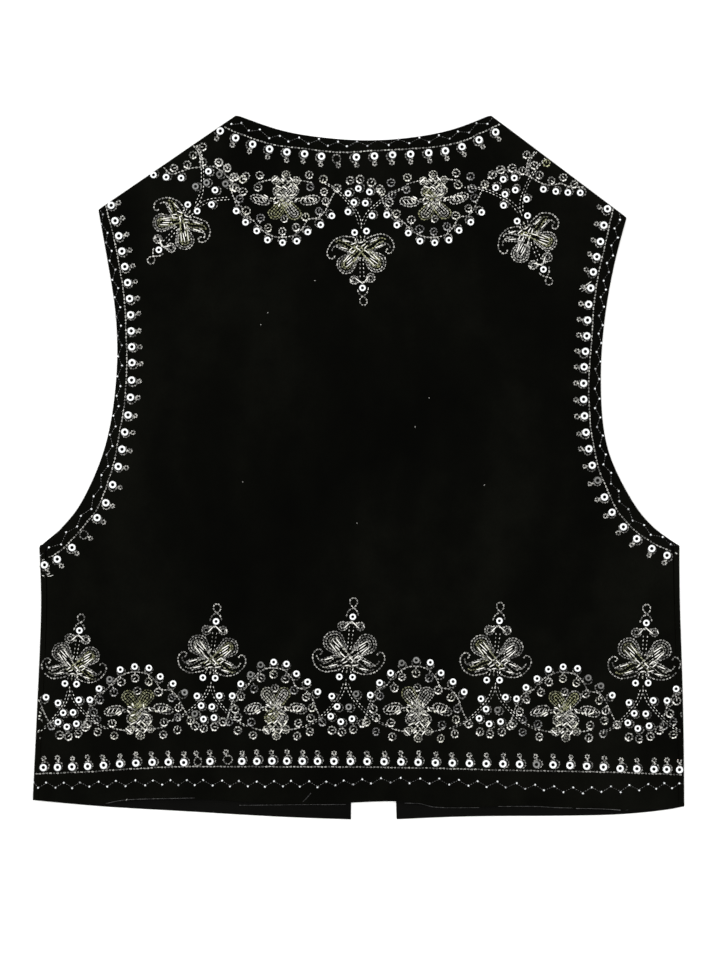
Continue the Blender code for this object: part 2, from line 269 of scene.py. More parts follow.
# Garland cells: flower heart x and y, turn, width and height of the arch against the drawn
# ones, negative where it hangs, and the dull sequins of the arch.
HEM_CELLS = (
    (-256.6, -176.5, 0.0, 1.0, 0.97, ()),
    (-158.0, -174.1, -1.9, 1.03, 0.95, (2, 8)),
    (-59.5, -173.2, 0.2, 0.93, 1.02, (2, 3)),
    (42.6, -173.6, 1.0, 1.02, 1.07, (3, 4)),
    (148.5, -175.2, 0.5, 1.04, 0.98, (6, 7)),
    (255.2, -176.1, 0.0, 1.0, 1.0, ()),
)
NECK_CELLS = (
    (-52.8, 192.3, 0.3, 1.04, -0.94, ()),
    (54.4, 192.3, -3.9, 1.03, -0.94, ()),
)

# Sprays at the ends of the neck border: sequins, loops, olive loops and stems.
LEFT_SPRAY = (
    ((-147.1, 210.0), (-138.1, 208.4), (-127.4, 207.8)),
    (
        (-132.6, 215.0), (-123.0, 217.5), (-118.8, 224.4), (-111.8, 230.2), (-111.6, 219.4),
        (-100.3, 219.4), (-94.0, 215.2), (-88.5, 208.9), (-81.0, 209.5),
    ),
    (),
    (
        ((-150.0, 214.0), (-140.8, 216.1), (-135.3, 210.6), (-128.0, 212.6), (-120.5, 215.0),
         (-112.8, 215.5)),
        ((-118.8, 231.5), (-113.9, 224.4), (-113.4, 215.5)),
        ((-117.2, 231.5), (-112.3, 224.4), (-111.8, 215.5)),
        ((-112.8, 215.5), (-104.0, 216.4), (-96.5, 211.0), (-90.0, 204.5)),
    ),
)
RIGHT_SPRAY = (
    ((132.8, 199.9), (141.6, 198.2), (150.4, 197.4), (159.3, 197.1)),
    ((120.7, 224.6), (126.2, 217.0), (130.0, 210.0), (138.5, 206.1), (147.1, 208.4), (154.8, 203.4)),
    ((135.0, 218.8),),
    (
        ((112.4, 213.3), (122.3, 209.5), (133.3, 203.4), (143.2, 203.4), (145.5, 204.5),
         (152.1, 201.2), (162.0, 201.7)),
        ((128.4, 227.1), (122.9, 220.0), (122.4, 210.0)),
        ((126.8, 227.1), (121.5, 220.0), (121.0, 210.0)),
        ((108.4, 211.6), (104.6, 214.4), (98.0, 212.2), (92.4, 207.4)),
    ),
)

# Loose bits: thread ends as points; grey dashes by the hem, partly hairs and partly a painted
# highlight where the hem's edge catches the light, as shine, width against the drawn thread and
# points; lint as x, y and length.
LOOSE_THREADS = (
    ((158.6, 128.0), (163.5, 131.0), (167.4, 133.9)),
    ((160.2, 126.3), (163.9, 128.6), (166.2, 132.4)),
    ((-228.5, -77.3), (-222.8, -78.3), (-219.0, -77.2)),
)
HAIRS_AND_GLINTS = (
    (0.22, 0.5, ((-183.0, -241.6), (-168.0, -238.9), (-143.0, -237.9), (-117.0, -237.3))),
    (0.2, 0.6, ((-86.0, -243.0), (-62.2, -242.8), (-36.9, -242.5), (-22.0, -242.5), (-9.0, -242.4))),
    (0.2, 0.6, ((-40.2, -240.4), (-36.8, -237.0), (-34.1, -233.7))),
    (0.2, 0.6, ((33.1, -241.4), (44.7, -241.9), (56.9, -244.5), (86.8, -244.7))),
    (
        0.2,
        0.6,
        ((100.4, -243.8), (126.0, -243.8), (143.6, -244.7), (172.4, -245.2), (194.0, -246.4)),
    ),
)
LINT = (
    (-31.3, 134.3, 1.3),
    (-65.2, 111.2, 1.0),
    (-70.2, 102.6, 1.2),
    (50.8, 50.0, 1.0),
    (40.7, 29.2, 1.3),
    (90.4, -12.6, 1.2),
    (-1.1, -40.0, 1.0),
    (-83.2, -10.4, 0.9),
    (-166.7, -238.7, 1.6),
    (-80.3, -240.8, 1.4),
)

# Stage: half the surface's length; middle of the view; the camera's sensor in millimetres;
# lamps as name, place, turn, size and share of the light; and the light of the room.
FLOOR_HALF = 3.0
VIEW_MIDDLE = (1.08 * MM, -9.0 * MM)
SENSOR = 36.0
LAMPS = (
    ("overhead", (0.0, 0.1, 3.2), (0.0, 0.0, 0.0), 3.0, 1.0),
    ("window", (-2.4, 1.6, 2.0), (0.0, -0.9, 0.45), 2.0, 0.35),
)
ROOM_COLOUR = (1.0, 0.995, 0.975, 1.0)
ROOM_STRENGTH = 0.76


def slot_colour(slot):
    """The base colour that the part's record gives a finish."""
    return tuple(SLOT_COLOURS[slot])


# Settings


class ClothSettings(bpy.types.PropertyGroup):
    """Velvet and its plain inside."""

    levels: IntProperty(
        name="Smoothing",
        description="Subdivision levels of the cloth panels",
        default=2,
        min=0,
        max=3,
    )
    crease: FloatProperty(
        name="Crease height",
        description="Height of the small creases against the drawn one",
        default=1.0,
        min=0.0,
        max=2.0,
        subtype="FACTOR",
    )
    velvet: FloatVectorProperty(
        name="Velvet",
        description="Colour of the pile",
        default=slot_colour("velvet"),
        subtype="COLOR",
        min=0.0,
        max=1.0,
    )
    inside: FloatVectorProperty(
        name="Inside",
        description="Colour of the plain side of the cloth",
        default=slot_colour("inside"),
        subtype="COLOR",
        min=0.0,
        max=1.0,
    )


class ThreadSettings(bpy.types.PropertyGroup):
    """Embroidery thread."""

    thickness: FloatProperty(
        name="Thickness",
        description="Diameter of the thread",
        default=0.5 * MM,
        min=0.2 * MM,
        max=1.0 * MM,
        unit="LENGTH",
        precision=5,
    )
    step: FloatProperty(
        name="Stitch",
        description="Length of one chain stitch",
        default=2.5 * MM,
        min=1.5 * MM,
        max=5.0 * MM,
        unit="LENGTH",
        precision=5,
    )
    colour: FloatVectorProperty(
        name="Silver",
        description="Colour of the brightest thread",
        default=slot_colour("thread"),
        subtype="COLOR",
        min=0.0,
        max=1.0,
    )
    gold: FloatVectorProperty(
        name="Gold",
        description="Colour of the olive gold thread",
        default=(0.43, 0.44, 0.22),
        subtype="COLOR",
        min=0.0,
        max=1.0,
    )


class SparkleSettings(bpy.types.PropertyGroup):
    """Sequins and beads."""

    sequin: FloatProperty(
        name="Sequin",
        description="Diameter of a sequin",
        default=5.4 * MM,
        min=3.0 * MM,
        max=10.0 * MM,
        unit="LENGTH",
        precision=5,
    )
    hole: FloatProperty(
        name="Hole",
        description="Diameter of the hole in a sequin",
        default=2.4 * MM,
        min=0.5 * MM,
        max=4.0 * MM,
        unit="LENGTH",
        precision=5,
    )
    bead: FloatProperty(
        name="Bead",
        description="Diameter of a seed bead",
        default=1.7 * MM,
        min=0.8 * MM,
        max=4.0 * MM,
        unit="LENGTH",
        precision=5,
    )
    sequin_colour: FloatVectorProperty(
        name="Sequins",
        description="Colour of the sequins",
        default=slot_colour("sequin"),
        subtype="COLOR",
        min=0.0,
        max=1.0,
    )
    bead_colour: FloatVectorProperty(
        name="Beads",
        description="Colour of the beads",
        default=slot_colour("bead"),
        subtype="COLOR",
        min=0.0,
        max=1.0,
    )


class StageSettings(bpy.types.PropertyGroup):
    """Floor, light and camera."""

    view_height: FloatProperty(
        name="View height",
        description="Length of the surface that the camera sees from top to bottom",
        default=0.6912,
        min=0.3,
        max=2.0,
        unit="LENGTH",
    )
    distance: FloatProperty(
        name="Camera height",
        description="Height of the camera above the surface",
        default=2.4,
        min=1.0,
        max=5.0,
        unit="LENGTH",
    )
    light: FloatProperty(
        name="Light",
        description="Power of the overhead light",
        default=92.0,
        min=1.0,
        max=500.0,
        unit="POWER",
    )
    floor: FloatVectorProperty(
        name="Surface",
        description="Colour of the surface that the vest lies on",
        default=(0.93, 0.93, 0.925),
        subtype="COLOR",
        min=0.0,
        max=1.0,
    )


# Finishes


class Value:
    """A number or colour in a material; sums with it add the Math nodes that work them out."""

    def __init__(self, finish, socket):
        self.finish = finish
        self.socket = socket

    def _math(self, operation, first, second):
        return self.finish.node("ShaderNodeMath", {"operation": operation}, {0: first, 1: second})

    def __add__(self, other):
        return self._math("ADD", self, other)

    def __mul__(self, other):
        return self._math("MULTIPLY", self, other)

    __radd__ = __add__
    __rmul__ = __mul__


class Finish:
    """One procedural material, built node by node."""

    def __init__(self, name):
        self.material = bpy.data.materials.new(name)
        self.material.use_nodes = True
        self.tree = self.material.node_tree
        self.tree.nodes.clear()

    def node(self, kind, settings=None, values=None, out=0):
        """Add a node, set it, fill or link its inputs, and return one of its outputs."""
        made = self.tree.nodes.new(kind)
        for name, setting in (settings or {}).items():
            if name == "stops":
                ramp = made.color_ramp.elements
                while len(ramp) < len(setting):
                    ramp.new(1.0)
                for stop, (position, colour) in zip(ramp, setting):
                    stop.position = position
                    stop.color = (*colour, 1.0)
            else:
                setattr(made, name, setting)
        for name, value in (values or {}).items():
            if isinstance(value, Value):
                self.tree.links.new(value.socket, made.inputs[name])
            else:
                made.inputs[name].default_value = value
        return Value(self, made.outputs[out]) if made.outputs else None

    def place(self, stretch=(1.0, 1.0, 1.0)):
        """Where a point lies on the vest, stretched along each axis."""
        where = self.node("ShaderNodeTexCoord", out="Object")
        return self.node("ShaderNodeMapping", None, {"Vector": where, "Scale": stretch})

    def noise(self, place, size, detail=2.0, rough=0.5):
        """Soft noise whose lumps are about as large as the given size in metres."""
        values = {"Vector": place, "Scale": 1 / size, "Detail": detail, "Roughness": rough}
        return self.node("ShaderNodeTexNoise", None, values)

    def stored(self, name):
        """A value kept with each point of the piece."""
        return self.node("ShaderNodeAttribute", {"attribute_name": name}, out="Fac")

    def ramp(self, value, *stops):
        """A colour picked from stops of position and colour."""
        return self.node("ShaderNodeValToRGB", {"stops": stops}, {"Fac": value})

    def mix(self, share, first, second, blend="MIX"):
        """Two colours mixed or multiplied."""
        settings = {"data_type": "RGBA", "blend_type": blend}
        return self.node("ShaderNodeMix", settings, {0: share, 6: first, 7: second}, out=2)

    def bump(self, height, strength, depth):
        """Relief of the given depth in metres."""
        values = {"Height": height, "Strength": strength, "Distance": depth}
        return self.node("ShaderNodeBump", None, values)

    def surface(self, **values):
        """Close the material with its surface shader; names are those of the sockets."""
        sockets = {name.replace("_", " "): value for name, value in values.items()}
        shader = self.node("ShaderNodeBsdfPrincipled", None, sockets)
        self.node("ShaderNodeOutputMaterial", None, {"Surface": shader})
        return self.material


def paint(colour, strength=1.0):
    """A colour as a socket takes it, made lighter or darker."""
    return (*(min(1.0, part * strength) for part in colour), 1.0)


def velvet_finish(colour):
    """Black pile with a fine grain, brushed in soft patches that catch the light."""
    cloth = Finish("black_velvet")
    brushed = cloth.noise(cloth.place((1.0, 0.45, 1.0)), 0.07, detail=3.0)
    worn = cloth.noise(cloth.place(), 0.018, detail=3.0, rough=0.6)
    grain = cloth.noise(cloth.place((1.0, 0.6, 1.0)), 0.0011)
    # Painted sheen: the pile's colour is raised in the brushed patches and further from the vest's
    # middle, and lowered between them; the worn noise adds wear to it.
    far = cloth.node("ShaderNodeVectorMath", {"operation": "LENGTH"}, {0: cloth.place()}, out=1)
    light = cloth.ramp(
        brushed * 0.62 + worn * 0.26 + far * 0.5,
        (0.36, (0.5,) * 3),
        (0.5, (0.9,) * 3),
        (0.68, (1.9,) * 3),
    )
    shade = cloth.mix(1.0, light, paint(colour, PILE_DEPTH), "MULTIPLY")
    speckled = cloth.mix(grain * 0.5, shade, paint(colour, PILE_DEPTH * 0.45))
    return cloth.surface(
        Base_Color=speckled,
        Roughness=worn * 0.16 + 0.78,
        Specular_IOR_Level=0.012,
        Sheen_Weight=0.014,
        Sheen_Roughness=0.35,
        Sheen_Tint=(0.85, 0.82, 0.5, 1.0),
        Normal=cloth.bump(grain + worn * 0.6, 0.5, 0.35 * MM),
    )


def inside_finish(colour):
    """Matt black ground of the cloth, with the threads of a plain weave."""
    cloth = Finish("plain_inside")
    bands = {"wave_type": "BANDS", "wave_profile": "SIN"}
    across = {"Vector": cloth.place(), "Scale": 260.0, "Distortion": 1.2, "Detail": 1.0}
    warp = cloth.node("ShaderNodeTexWave", {**bands, "bands_direction": "X"}, across)
    weft = cloth.node("ShaderNodeTexWave", {**bands, "bands_direction": "Y"}, across)
    weave = warp * 0.5 + weft * 0.5
    faded = cloth.noise(cloth.place(), 0.03, detail=3.0)
    shade = cloth.mix(faded, paint(colour, 0.06), paint(colour, 0.16))
    return cloth.surface(
        Base_Color=cloth.mix(weave * 0.5, shade, paint(colour, 0.05)),
        Roughness=faded * 0.1 + 0.86,
        Specular_IOR_Level=0.04,
        Normal=cloth.bump(weave, 0.4, 0.25 * MM),
    )


def thread_finish(silver, gold):
    """Metal-wrapped thread, from tarnished grey over silver and cream to olive gold."""
    thread = Finish("metal_thread")
    worn = thread.noise(thread.place(), 0.006)
    twist = thread.noise(thread.place(), 0.00045, detail=1.0)
    cream = tuple(0.82 * a + 0.18 * b for a, b in zip(silver, gold))
    tone = thread.ramp(
        thread.stored("tone"),
        (0.0, (0.25, 0.25, 0.255)),
        (0.3, silver),
        (0.6, cream),
        (1.0, gold),
    )
    # Painted highlights: each stitch's colour is scaled by its stored shine, from black to a little
    # above its tone.
    light = thread.ramp(thread.stored("shine"), (0.0, (0.0,) * 3), (1.0, (1.2,) * 3))
    lit = thread.mix(1.0, tone, light, "MULTIPLY")
    return thread.surface(
        Base_Color=thread.mix(worn * 0.14 + twist * 0.1, lit, paint((0.05, 0.05, 0.045))),
        Roughness=worn * 0.2 + 0.34,
        Metallic=0.25,
        Normal=thread.bump(twist, 0.6, 0.12 * MM),
    )


def sequin_finish(colour):
    """Silver-white plastic with a soft gloss; a few sequins have gone dull."""
    sequin = Finish("silver_sequin")
    scratches_and_shade = sequin.noise(sequin.place(), 0.0008)
    dull = sequin.stored("tone")
    # Painted shade: the scratch noise also darkens the colour in soft patches, down to about three
    # quarters of it.
    fresh = sequin.mix(scratches_and_shade * 0.5, paint(colour), paint(colour, 0.45))
    return sequin.surface(
        Base_Color=sequin.mix(dull, fresh, paint((0.07, 0.07, 0.065))),
        Roughness=scratches_and_shade * 0.2 + dull * 0.25 + 0.16,
        Metallic=0.15,
        Coat_Weight=0.4,
        Coat_Roughness=0.12,
        Normal=sequin.bump(scratches_and_shade, 0.25, 0.05 * MM),
    )


def bead_finish(colour):
    """Silver-lined glass with small dark flecks."""
    bead = Finish("silver_bead")
    flecks = bead.noise(bead.place(), 0.0009, detail=1.0)
    return bead.surface(
        Base_Color=bead.mix(bead.stored("tone"), paint(colour), paint((0.2, 0.2, 0.21))),
        Roughness=flecks * 0.2 + 0.12,
        Metallic=0.35,
        Normal=bead.bump(flecks, 0.3, 0.05 * MM),
    )


def floor_finish(colour):
    """Plain pale surface, very slightly uneven in tone."""
    floor = Finish("pale_surface")
    tone = floor.noise(floor.place(), 0.4)
    return floor.surface(
        Base_Color=floor.mix(tone, paint(colour), paint(colour, 1.02)),
        Roughness=tone * 0.1 + 0.85,
        Specular_IOR_Level=0.1,
    )


# Lines


def smooth_line(points, step=0.8):
    """Points about a step apart on the smooth curve through the given ones."""
    through = np.asarray(points, float)
    ends = np.vstack([2 * through[:1] - through[1:2], through, 2 * through[-1:] - through[-2:-1]])
    parts = []
    for before, start, stop, after in zip(ends, ends[1:], ends[2:], ends[3:]):
        count = max(2, math.ceil(np.linalg.norm(stop - start) / step))
        t = np.arange(count)[:, None] / count
        slope = (stop - before) * t
        bend = (2 * before - 5 * start + 4 * stop - after) * t**2
        turn = (3 * start - before - 3 * stop + after) * t**3
        parts.append(start + 0.5 * (slope + bend + turn))
    return np.vstack([*parts, through[-1:]])


def lengths_along(line):
    """Length of a line from its start to each of its points."""
    steps = np.linalg.norm(np.diff(line, axis=0), axis=1)
    return np.concatenate([[0.0], np.cumsum(steps)])


def points_at(line, lengths):
    """Points of a line at the given lengths from its start."""
    run = lengths_along(line)
    return np.stack([np.interp(lengths, run, line[:, axis]) for axis in (0, 1)], axis=1)


def shifted(line, distance):
    """The line that runs beside another, to its left for a positive distance."""
    ahead = np.gradient(line, axis=0)
    ahead /= np.linalg.norm(ahead, axis=1)[:, None]
    left = np.stack([-ahead[:, 1], ahead[:, 0]], axis=1)
    return line + left * distance


def headings(line, lengths, reach):
    """Directions of a line at the given lengths, each taken over a reach to both sides."""
    return points_at(line, lengths + reach) - points_at(line, lengths - reach)


def length_near(line, point):
    """Length along a line at the place nearest to a point."""
    nearest = np.argmin(np.linalg.norm(line - np.asarray(point), axis=1))
    return lengths_along(line)[nearest]


# Cloth


def crease_height(x, y, creases):
    """Height of the small creases at a point, in millimetres."""
    height = 0.0
    for middle_x, middle_y, turn, half_long, half_wide, high in creases:
        angle = math.radians(turn)
        along = (x - middle_x) * math.cos(angle) + (y - middle_y) * math.sin(angle)
        across = (y - middle_y) * math.cos(angle) - (x - middle_x) * math.sin(angle)
        across += 0.12 * half_wide * math.sin(along / half_long * 3.1)
        if abs(along) < half_long and abs(across) < 3 * half_wide:
            taper = math.cos(along / half_long * math.pi / 2) ** 2
            height += high * taper * math.exp(-((across / half_wide) ** 2))
    return height


def side_fade(x, low_x, high_x):
    """One inside a panel, falling to nothing at its side edges."""
    room = min(x - low_x, high_x - x) / CREASE_FADE
    share = min(1.0, max(0.0, room - FLAT_SHARE))
    return share * share * (3 - 2 * share)


def cloth_shell(panel, name, creases, settings):
    """A smooth copy of a packed panel with its small creases."""
    shell = bmesh.new()
    shell.from_mesh(frame["nodes"][panel].data)
    bmesh.ops.remove_doubles(shell, verts=shell.verts, dist=WELD)
    bmesh.ops.join_triangles(
        shell,
        faces=shell.faces,
        angle_face_threshold=JOINED_BEND,
        angle_shape_threshold=JOINED_BEND,
    )
    held = shell.edges.layers.float.new("crease_edge")
    for edge in shell.edges:
        least, most = SHARP_BENDS
        if edge.is_manifold and least < math.degrees(edge.calc_face_angle()) < most:
            edge[held] = 1.0
    mesh = bpy.data.meshes.new(name)
    shell.to_mesh(mesh)
    shell.free()
    piece = bpy.data.objects.new(name, mesh)
    bpy.context.scene.collection.objects.link(piece)
    smoothing = piece.modifiers.new("smoothing", "SUBSURF")
    smoothing.levels = settings.levels
    smoothing.render_levels = settings.levels
    evaluated = piece.evaluated_get(bpy.context.evaluated_depsgraph_get())
    piece.data = bpy.data.meshes.new_from_object(evaluated)
    piece.data.name = name
    piece.modifiers.clear()
    low, high = (corner / MM for corner in map(np.array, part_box(panel)))
    for vertex in piece.data.vertices:
        x, y, _ = vertex.co / MM
        rise = crease_height(x, y, creases) * side_fade(x, low[0], high[0])
        vertex.co.z += rise * settings.crease * MM
    piece.data.shade_smooth()
    return piece


def plain_side(polygon):
    """Whether a face of a front belongs to the inside of the cloth that lies upwards."""
    return polygon.normal.z > INSIDE_TURN and polygon.center.z < INSIDE_HEIGHT


# Needlework

# Drawn sizes in millimetres: link length and width, and the short stitch's length.
LINK_LONG = 2.2
LINK_WIDE = 1.2
SHORT_STITCH = 2.0

# Height between the ends of a stitch, in millimetres, at which it would cross an edge.
STEP_DOWN = 0.9

# Height above the cloth, in millimetres: chain links, short stitches and those laid on top
# of others, lint, sequins and beads. How far the round ones lean for each one up.
LINK_LIFT = 0.22
STITCH_LIFT = 0.2
TOP_LIFT = 0.5
LINT_LIFT = 0.3
SEQUIN_LIFT = 0.75
BEAD_LIFT = 0.6
SEQUIN_TILT = 0.07
BEAD_TILT = 0.2

# Unevenness of the hand: how far a stitch strays and its change of tone; and painted glints, the
# shares of its shine that a stitch gets at random.
STRAY = 0.13
TONE_CHANGE = 0.05
GLEAMS = (0.3, 0.65, 1.0, 1.25)

# Size of the sequins in the borders against those along the edges, and the dim ring of
# thread under each: its radius and shine.
BORDER_SEQUIN = 0.89
BORDER_RING = 3.0
RING_SHINE = 0.4


def small_shape(shape):
    """Points and triangles of a small shape, as arrays."""
    bmesh.ops.triangulate(shape, faces=shape.faces)
    shape.verts.index_update()
    points = np.array([vertex.co[:] for vertex in shape.verts])
    faces = np.array([[vertex.index for vertex in face.verts] for face in shape.faces])
    shape.free()
    return points, faces


def chain_link(thickness):
    """One loop of chain stitch, pinched where it leaves the loop before."""
    bend = LINK_WIDE / 2 - thickness / 2
    link = bmesh.new()
    upright = Matrix.Translation((bend, 0, 0)) @ Matrix.Rotation(math.pi / 2, 4, "X")
    bmesh.ops.create_circle(link, radius=thickness / 2, segments=3, matrix=upright)
    bmesh.ops.rotate(link, verts=link.verts, matrix=Matrix.Rotation(math.pi / 8, 3, "Z"))
    bmesh.ops.spin(
        link,
        geom=link.edges[:],
        axis=(0, 0, 1),
        angle=math.tau,
        steps=8,
        use_merge=True,
    )
    half = (LINK_LONG - LINK_WIDE) / 2
    head = [vertex for vertex in link.verts if vertex.co.x > 0]
    tail = [vertex for vertex in link.verts if vertex.co.x < 0]
    bmesh.ops.translate(link, verts=head, vec=(half, 0, 0))
    bmesh.ops.translate(link, verts=tail, vec=(-half, 0, 0))
    bmesh.ops.scale(link, verts=tail, vec=(1, 0.6, 1))
    bmesh.ops.recalc_face_normals(link, faces=link.faces)
    return small_shape(link)


def short_stitch(thickness):
    """A short straight stitch, thin at its ends."""
    stitch = bmesh.new()
    lying = Matrix.Rotation(math.pi / 2, 4, "Y")
    bmesh.ops.create_uvsphere(
        stitch, u_segments=6, v_segments=4, radius=thickness / 2, matrix=lying
    )
    bmesh.ops.scale(stitch, verts=stitch.verts, vec=(SHORT_STITCH / thickness, 1, 1))
    return small_shape(stitch)


def cupped_sequin(diameter, hole):
    """A thin cup with a hole."""
    outer = diameter / 2
    inner = hole / 2
    profile = (
        (inner, 0.0),
        (outer * 0.62, 0.16),
        (outer, 0.62),
        (outer * 0.97, 0.46),
        (inner, -0.16),
    )
    cup = bmesh.new()
    corners = [cup.verts.new((radius, 0, height)) for radius, height in profile]
    rim = [cup.edges.new(pair) for pair in zip(corners, corners[1:] + corners[:1])]
    bmesh.ops.spin(cup, geom=rim, axis=(0, 0, 1), angle=math.tau, steps=14, use_merge=True)
    bmesh.ops.recalc_face_normals(cup, faces=cup.faces)
    return small_shape(cup)


def seed_bead(diameter):
    """A small bead, a little flat along its hole."""
    bead = bmesh.new()
    bmesh.ops.create_uvsphere(bead, u_segments=8, v_segments=5, radius=diameter / 2)
    bmesh.ops.scale(bead, verts=bead.verts, vec=(0.85, 1, 1))
    return small_shape(bead)


def joined_copies(name, shape, rows, finish):
    """Make one object that holds a copy of a small shape for each row.

    A row is a copy's place, its three axes, its tone and its shine.
    """
    points, faces = shape
    table = np.array(rows)
    axes = table[:, 3:12].reshape(-1, 3, 3)
    copies = table[:, None, :3] + np.einsum("vk,mkc->mvc", points, axes)
    corners = faces[None] + (np.arange(len(table)) * len(points))[:, None, None]
    mesh = bpy.data.meshes.new(name)
    mesh.from_pydata((copies.reshape(-1, 3) * MM).tolist(), [], corners.reshape(-1, 3).tolist())
    for column, attribute in ((12, "tone"), (13, "shine")):
        stored = mesh.attributes.new(attribute, "FLOAT", "POINT")
        stored.data.foreach_set("value", np.repeat(table[:, column], len(points)))
    mesh.shade_smooth()
    mesh.materials.append(finish)
    piece = bpy.data.objects.new(name, mesh)
    bpy.context.scene.collection.objects.link(piece)
    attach(piece, "root")


class Needlework:
    """Stitches, sequins and beads that are set on the cloth, place by place."""

    def __init__(self, context, seed, gleam=1.0):
        corners = []
        faces = []
        for _, name, _, _, _ in PANELS:
            if name not in bpy.data.objects:
                raise RuntimeError("the cloth comes before the stitches that are set on it")
            mesh = bpy.data.objects[name].data
            first = len(corners)
            corners += [vertex.co for vertex in mesh.vertices]
            faces += [[first + corner for corner in face.vertices] for face in mesh.polygons]
        self.cloth = BVHTree.FromPolygons(corners, faces)
        self.thread = context.scene.vest_thread
        self.sparkle = context.scene.vest_sparkle
        self.chance = random.Random(seed)
        self.gleam = gleam
        self.rows = {"link": [], "stitch": [], "sequin": [], "bead": []}

    def under(self, x, y):
        """Place and direction of the cloth's face at a point seen from above."""
        place, normal, _, _ = self.cloth.ray_cast(Vector((x, y, 50)) * MM, Vector((0, 0, -1)))
        return place and (place / MM, normal)

    def lay(self, kind, start, end, drawn, wide=1.0, lift=0.0, tone=SILVER, shine=1.0):
        """One stitch from point to point, where there is level cloth under both."""
        first = self.under(*start)
        last = self.under(*end)
        if not first or not last or abs(last[0].z - first[0].z) > STEP_DOWN:
            return
        along = last[0] - first[0]
        up = (first[1] + last[1]).normalized()
        across = up.cross(along).normalized()
        middle = (first[0] + last[0]) / 2 + up * lift
        self.rows[kind].append([*middle, *(along / drawn), *(across * wide), *up, tone, shine])

    def set_on(self, kind, x, y, lift, tilt, tone, size=1.0):
        """One round thing at a point, tilted a little at random."""
        spot = self.under(x, y)
        if not spot:
            return
        lean = Vector((self.chance.gauss(0, tilt), self.chance.gauss(0, tilt), 0))
        up = (spot[1] + lean).normalized()
        turn = self.chance.uniform(0, math.tau)
        along = Vector((math.cos(turn), math.sin(turn), 0)).cross(up).normalized()
        across = up.cross(along)
        axes = [*(along * size), *(across * size), *(up * size)]
        self.rows[kind].append([*(spot[0] + up * lift), *axes, tone, 1.0])

    def vary(self, tone, shine):
        """A tone and shine, each a little off."""
        tone = min(1.0, max(0.0, tone + self.chance.gauss(0, TONE_CHANGE)))
        shine *= self.gleam * self.chance.choice(GLEAMS)
        return tone, min(1.0, max(0.05, shine))

    def chain(self, points, tone=SILVER, shine=1.0, step=None, wide=1.0):
        """Chain stitch along the smooth line through the points."""
        line = smooth_line(points)
        length = lengths_along(line)[-1]
        count = max(1, round(length / (step or self.thread.step / MM)))
        stops = points_at(line, np.linspace(0, length, count + 1))
        jitter = [(self.chance.gauss(0, STRAY), self.chance.gauss(0, STRAY)) for _ in stops]
        stops = stops + np.array(jitter)
        for start, end in zip(stops, stops[1:]):
            gap = (end - start) * self.chance.uniform(0.08, 0.16)
            stitch_tone, stitch_shine = self.vary(tone, shine)
            self.lay(
                "link",
                start + gap,
                end - gap,
                LINK_LONG,
                wide * self.chance.uniform(0.85, 1.15),
                LINK_LIFT,
                stitch_tone,
                stitch_shine,
            )

    def dots(self, points, tone=SILVER, shine=0.8, step=3.2, stitch=1.7, wide=1.0):
        """Short running stitches along the smooth line through the points."""
        line = smooth_line(points)
        length = lengths_along(line)[-1]
        for middle in np.arange(step / 2, length, step):
            start, end = points_at(line, [middle - stitch / 2, middle + stitch / 2])
            varied = self.vary(tone, shine)
            self.lay("stitch", start, end, SHORT_STITCH, wide, STITCH_LIFT, *varied)

    def ring(self, x, y, radius, tone=SILVER, shine=1.0, wide=1.0):
        """A small closed loop of chain stitch."""
        turn = self.chance.uniform(0, math.tau)
        round_x = radius * self.chance.uniform(0.9, 1.1)
        angles = [turn + math.tau * part / 12 for part in range(13)]
        points = [(x + round_x * math.cos(a), y + radius * math.sin(a)) for a in angles]
        self.chain(points, tone, shine, step=min(2.1, radius), wide=wide)

    def bright(self, start, end, wide=1.6, tone=SILVER):
        """One crisp straight stitch on top of the others."""
        tone, _ = self.vary(tone, 1.0)
        shine = self.chance.uniform(0.8, 1.0)
        self.lay("stitch", start, end, SHORT_STITCH, wide, TOP_LIFT, tone, shine)

    def loop(self, x, y, radius, tone=SILVER, shine=1.0):
        """A small loop, heavier at its lower side, with a stitch across it."""
        self.ring(x, y, radius, tone, shine * 0.85, 1.1)
        turn = self.chance.uniform(0, math.pi)
        half = Vector((math.cos(turn), math.sin(turn))) * radius * 0.45
        middle = Vector((x, y)) + half * self.chance.uniform(-0.8, 0.8)
        ends = (middle - half, middle + half)
        self.lay("stitch", *ends, SHORT_STITCH, 1.2, STITCH_LIFT, tone, shine * 0.7)
        low = math.radians(self.chance.uniform(225, 300))
        span = math.radians(self.chance.uniform(26, 44))
        angles = (low - span, low, low + span)
        rim = [(x + radius * math.cos(a), y + radius * math.sin(a)) for a in angles]
        for start, end in zip(rim, rim[1:]):
            self.bright(start, end, self.chance.uniform(1.8, 3.0), tone)

    def sequin(self, x, y, dull=False, size=1.0):
        """A sequin, a little tilted."""
        tone = self.chance.uniform(0.86, 1.0) if dull else self.chance.uniform(0.0, 0.06)
        self.set_on("sequin", x, y, SEQUIN_LIFT, SEQUIN_TILT, tone, size)

    def bead(self, x, y, dull=False):
        """A seed bead."""
        tone = self.chance.uniform(0.5, 0.9) if dull else self.chance.uniform(0.0, 0.3)
        self.set_on("bead", x, y, BEAD_LIFT, BEAD_TILT, tone)

    def pieces(self, name):
        """Make the objects of all that was laid, one to each kind."""
        thickness = self.thread.thickness / MM
        kinds = (
            ("link", "stitches", chain_link(thickness), thread_material, "thread"),
            ("stitch", "dots", short_stitch(thickness), thread_material, "thread"),
            (
                "sequin",
                "sequins",
                cupped_sequin(self.sparkle.sequin / MM, self.sparkle.hole / MM),
                sequin_material,
                "sequin",
            ),
            ("bead", "beads", seed_bead(self.sparkle.bead / MM), bead_material, "bead"),
        )
        for kind, word, shape, finish, slot in kinds:
            if self.rows[kind]:
                joined_copies(f"{name}_{word}", shape, self.rows[kind], finish(self))


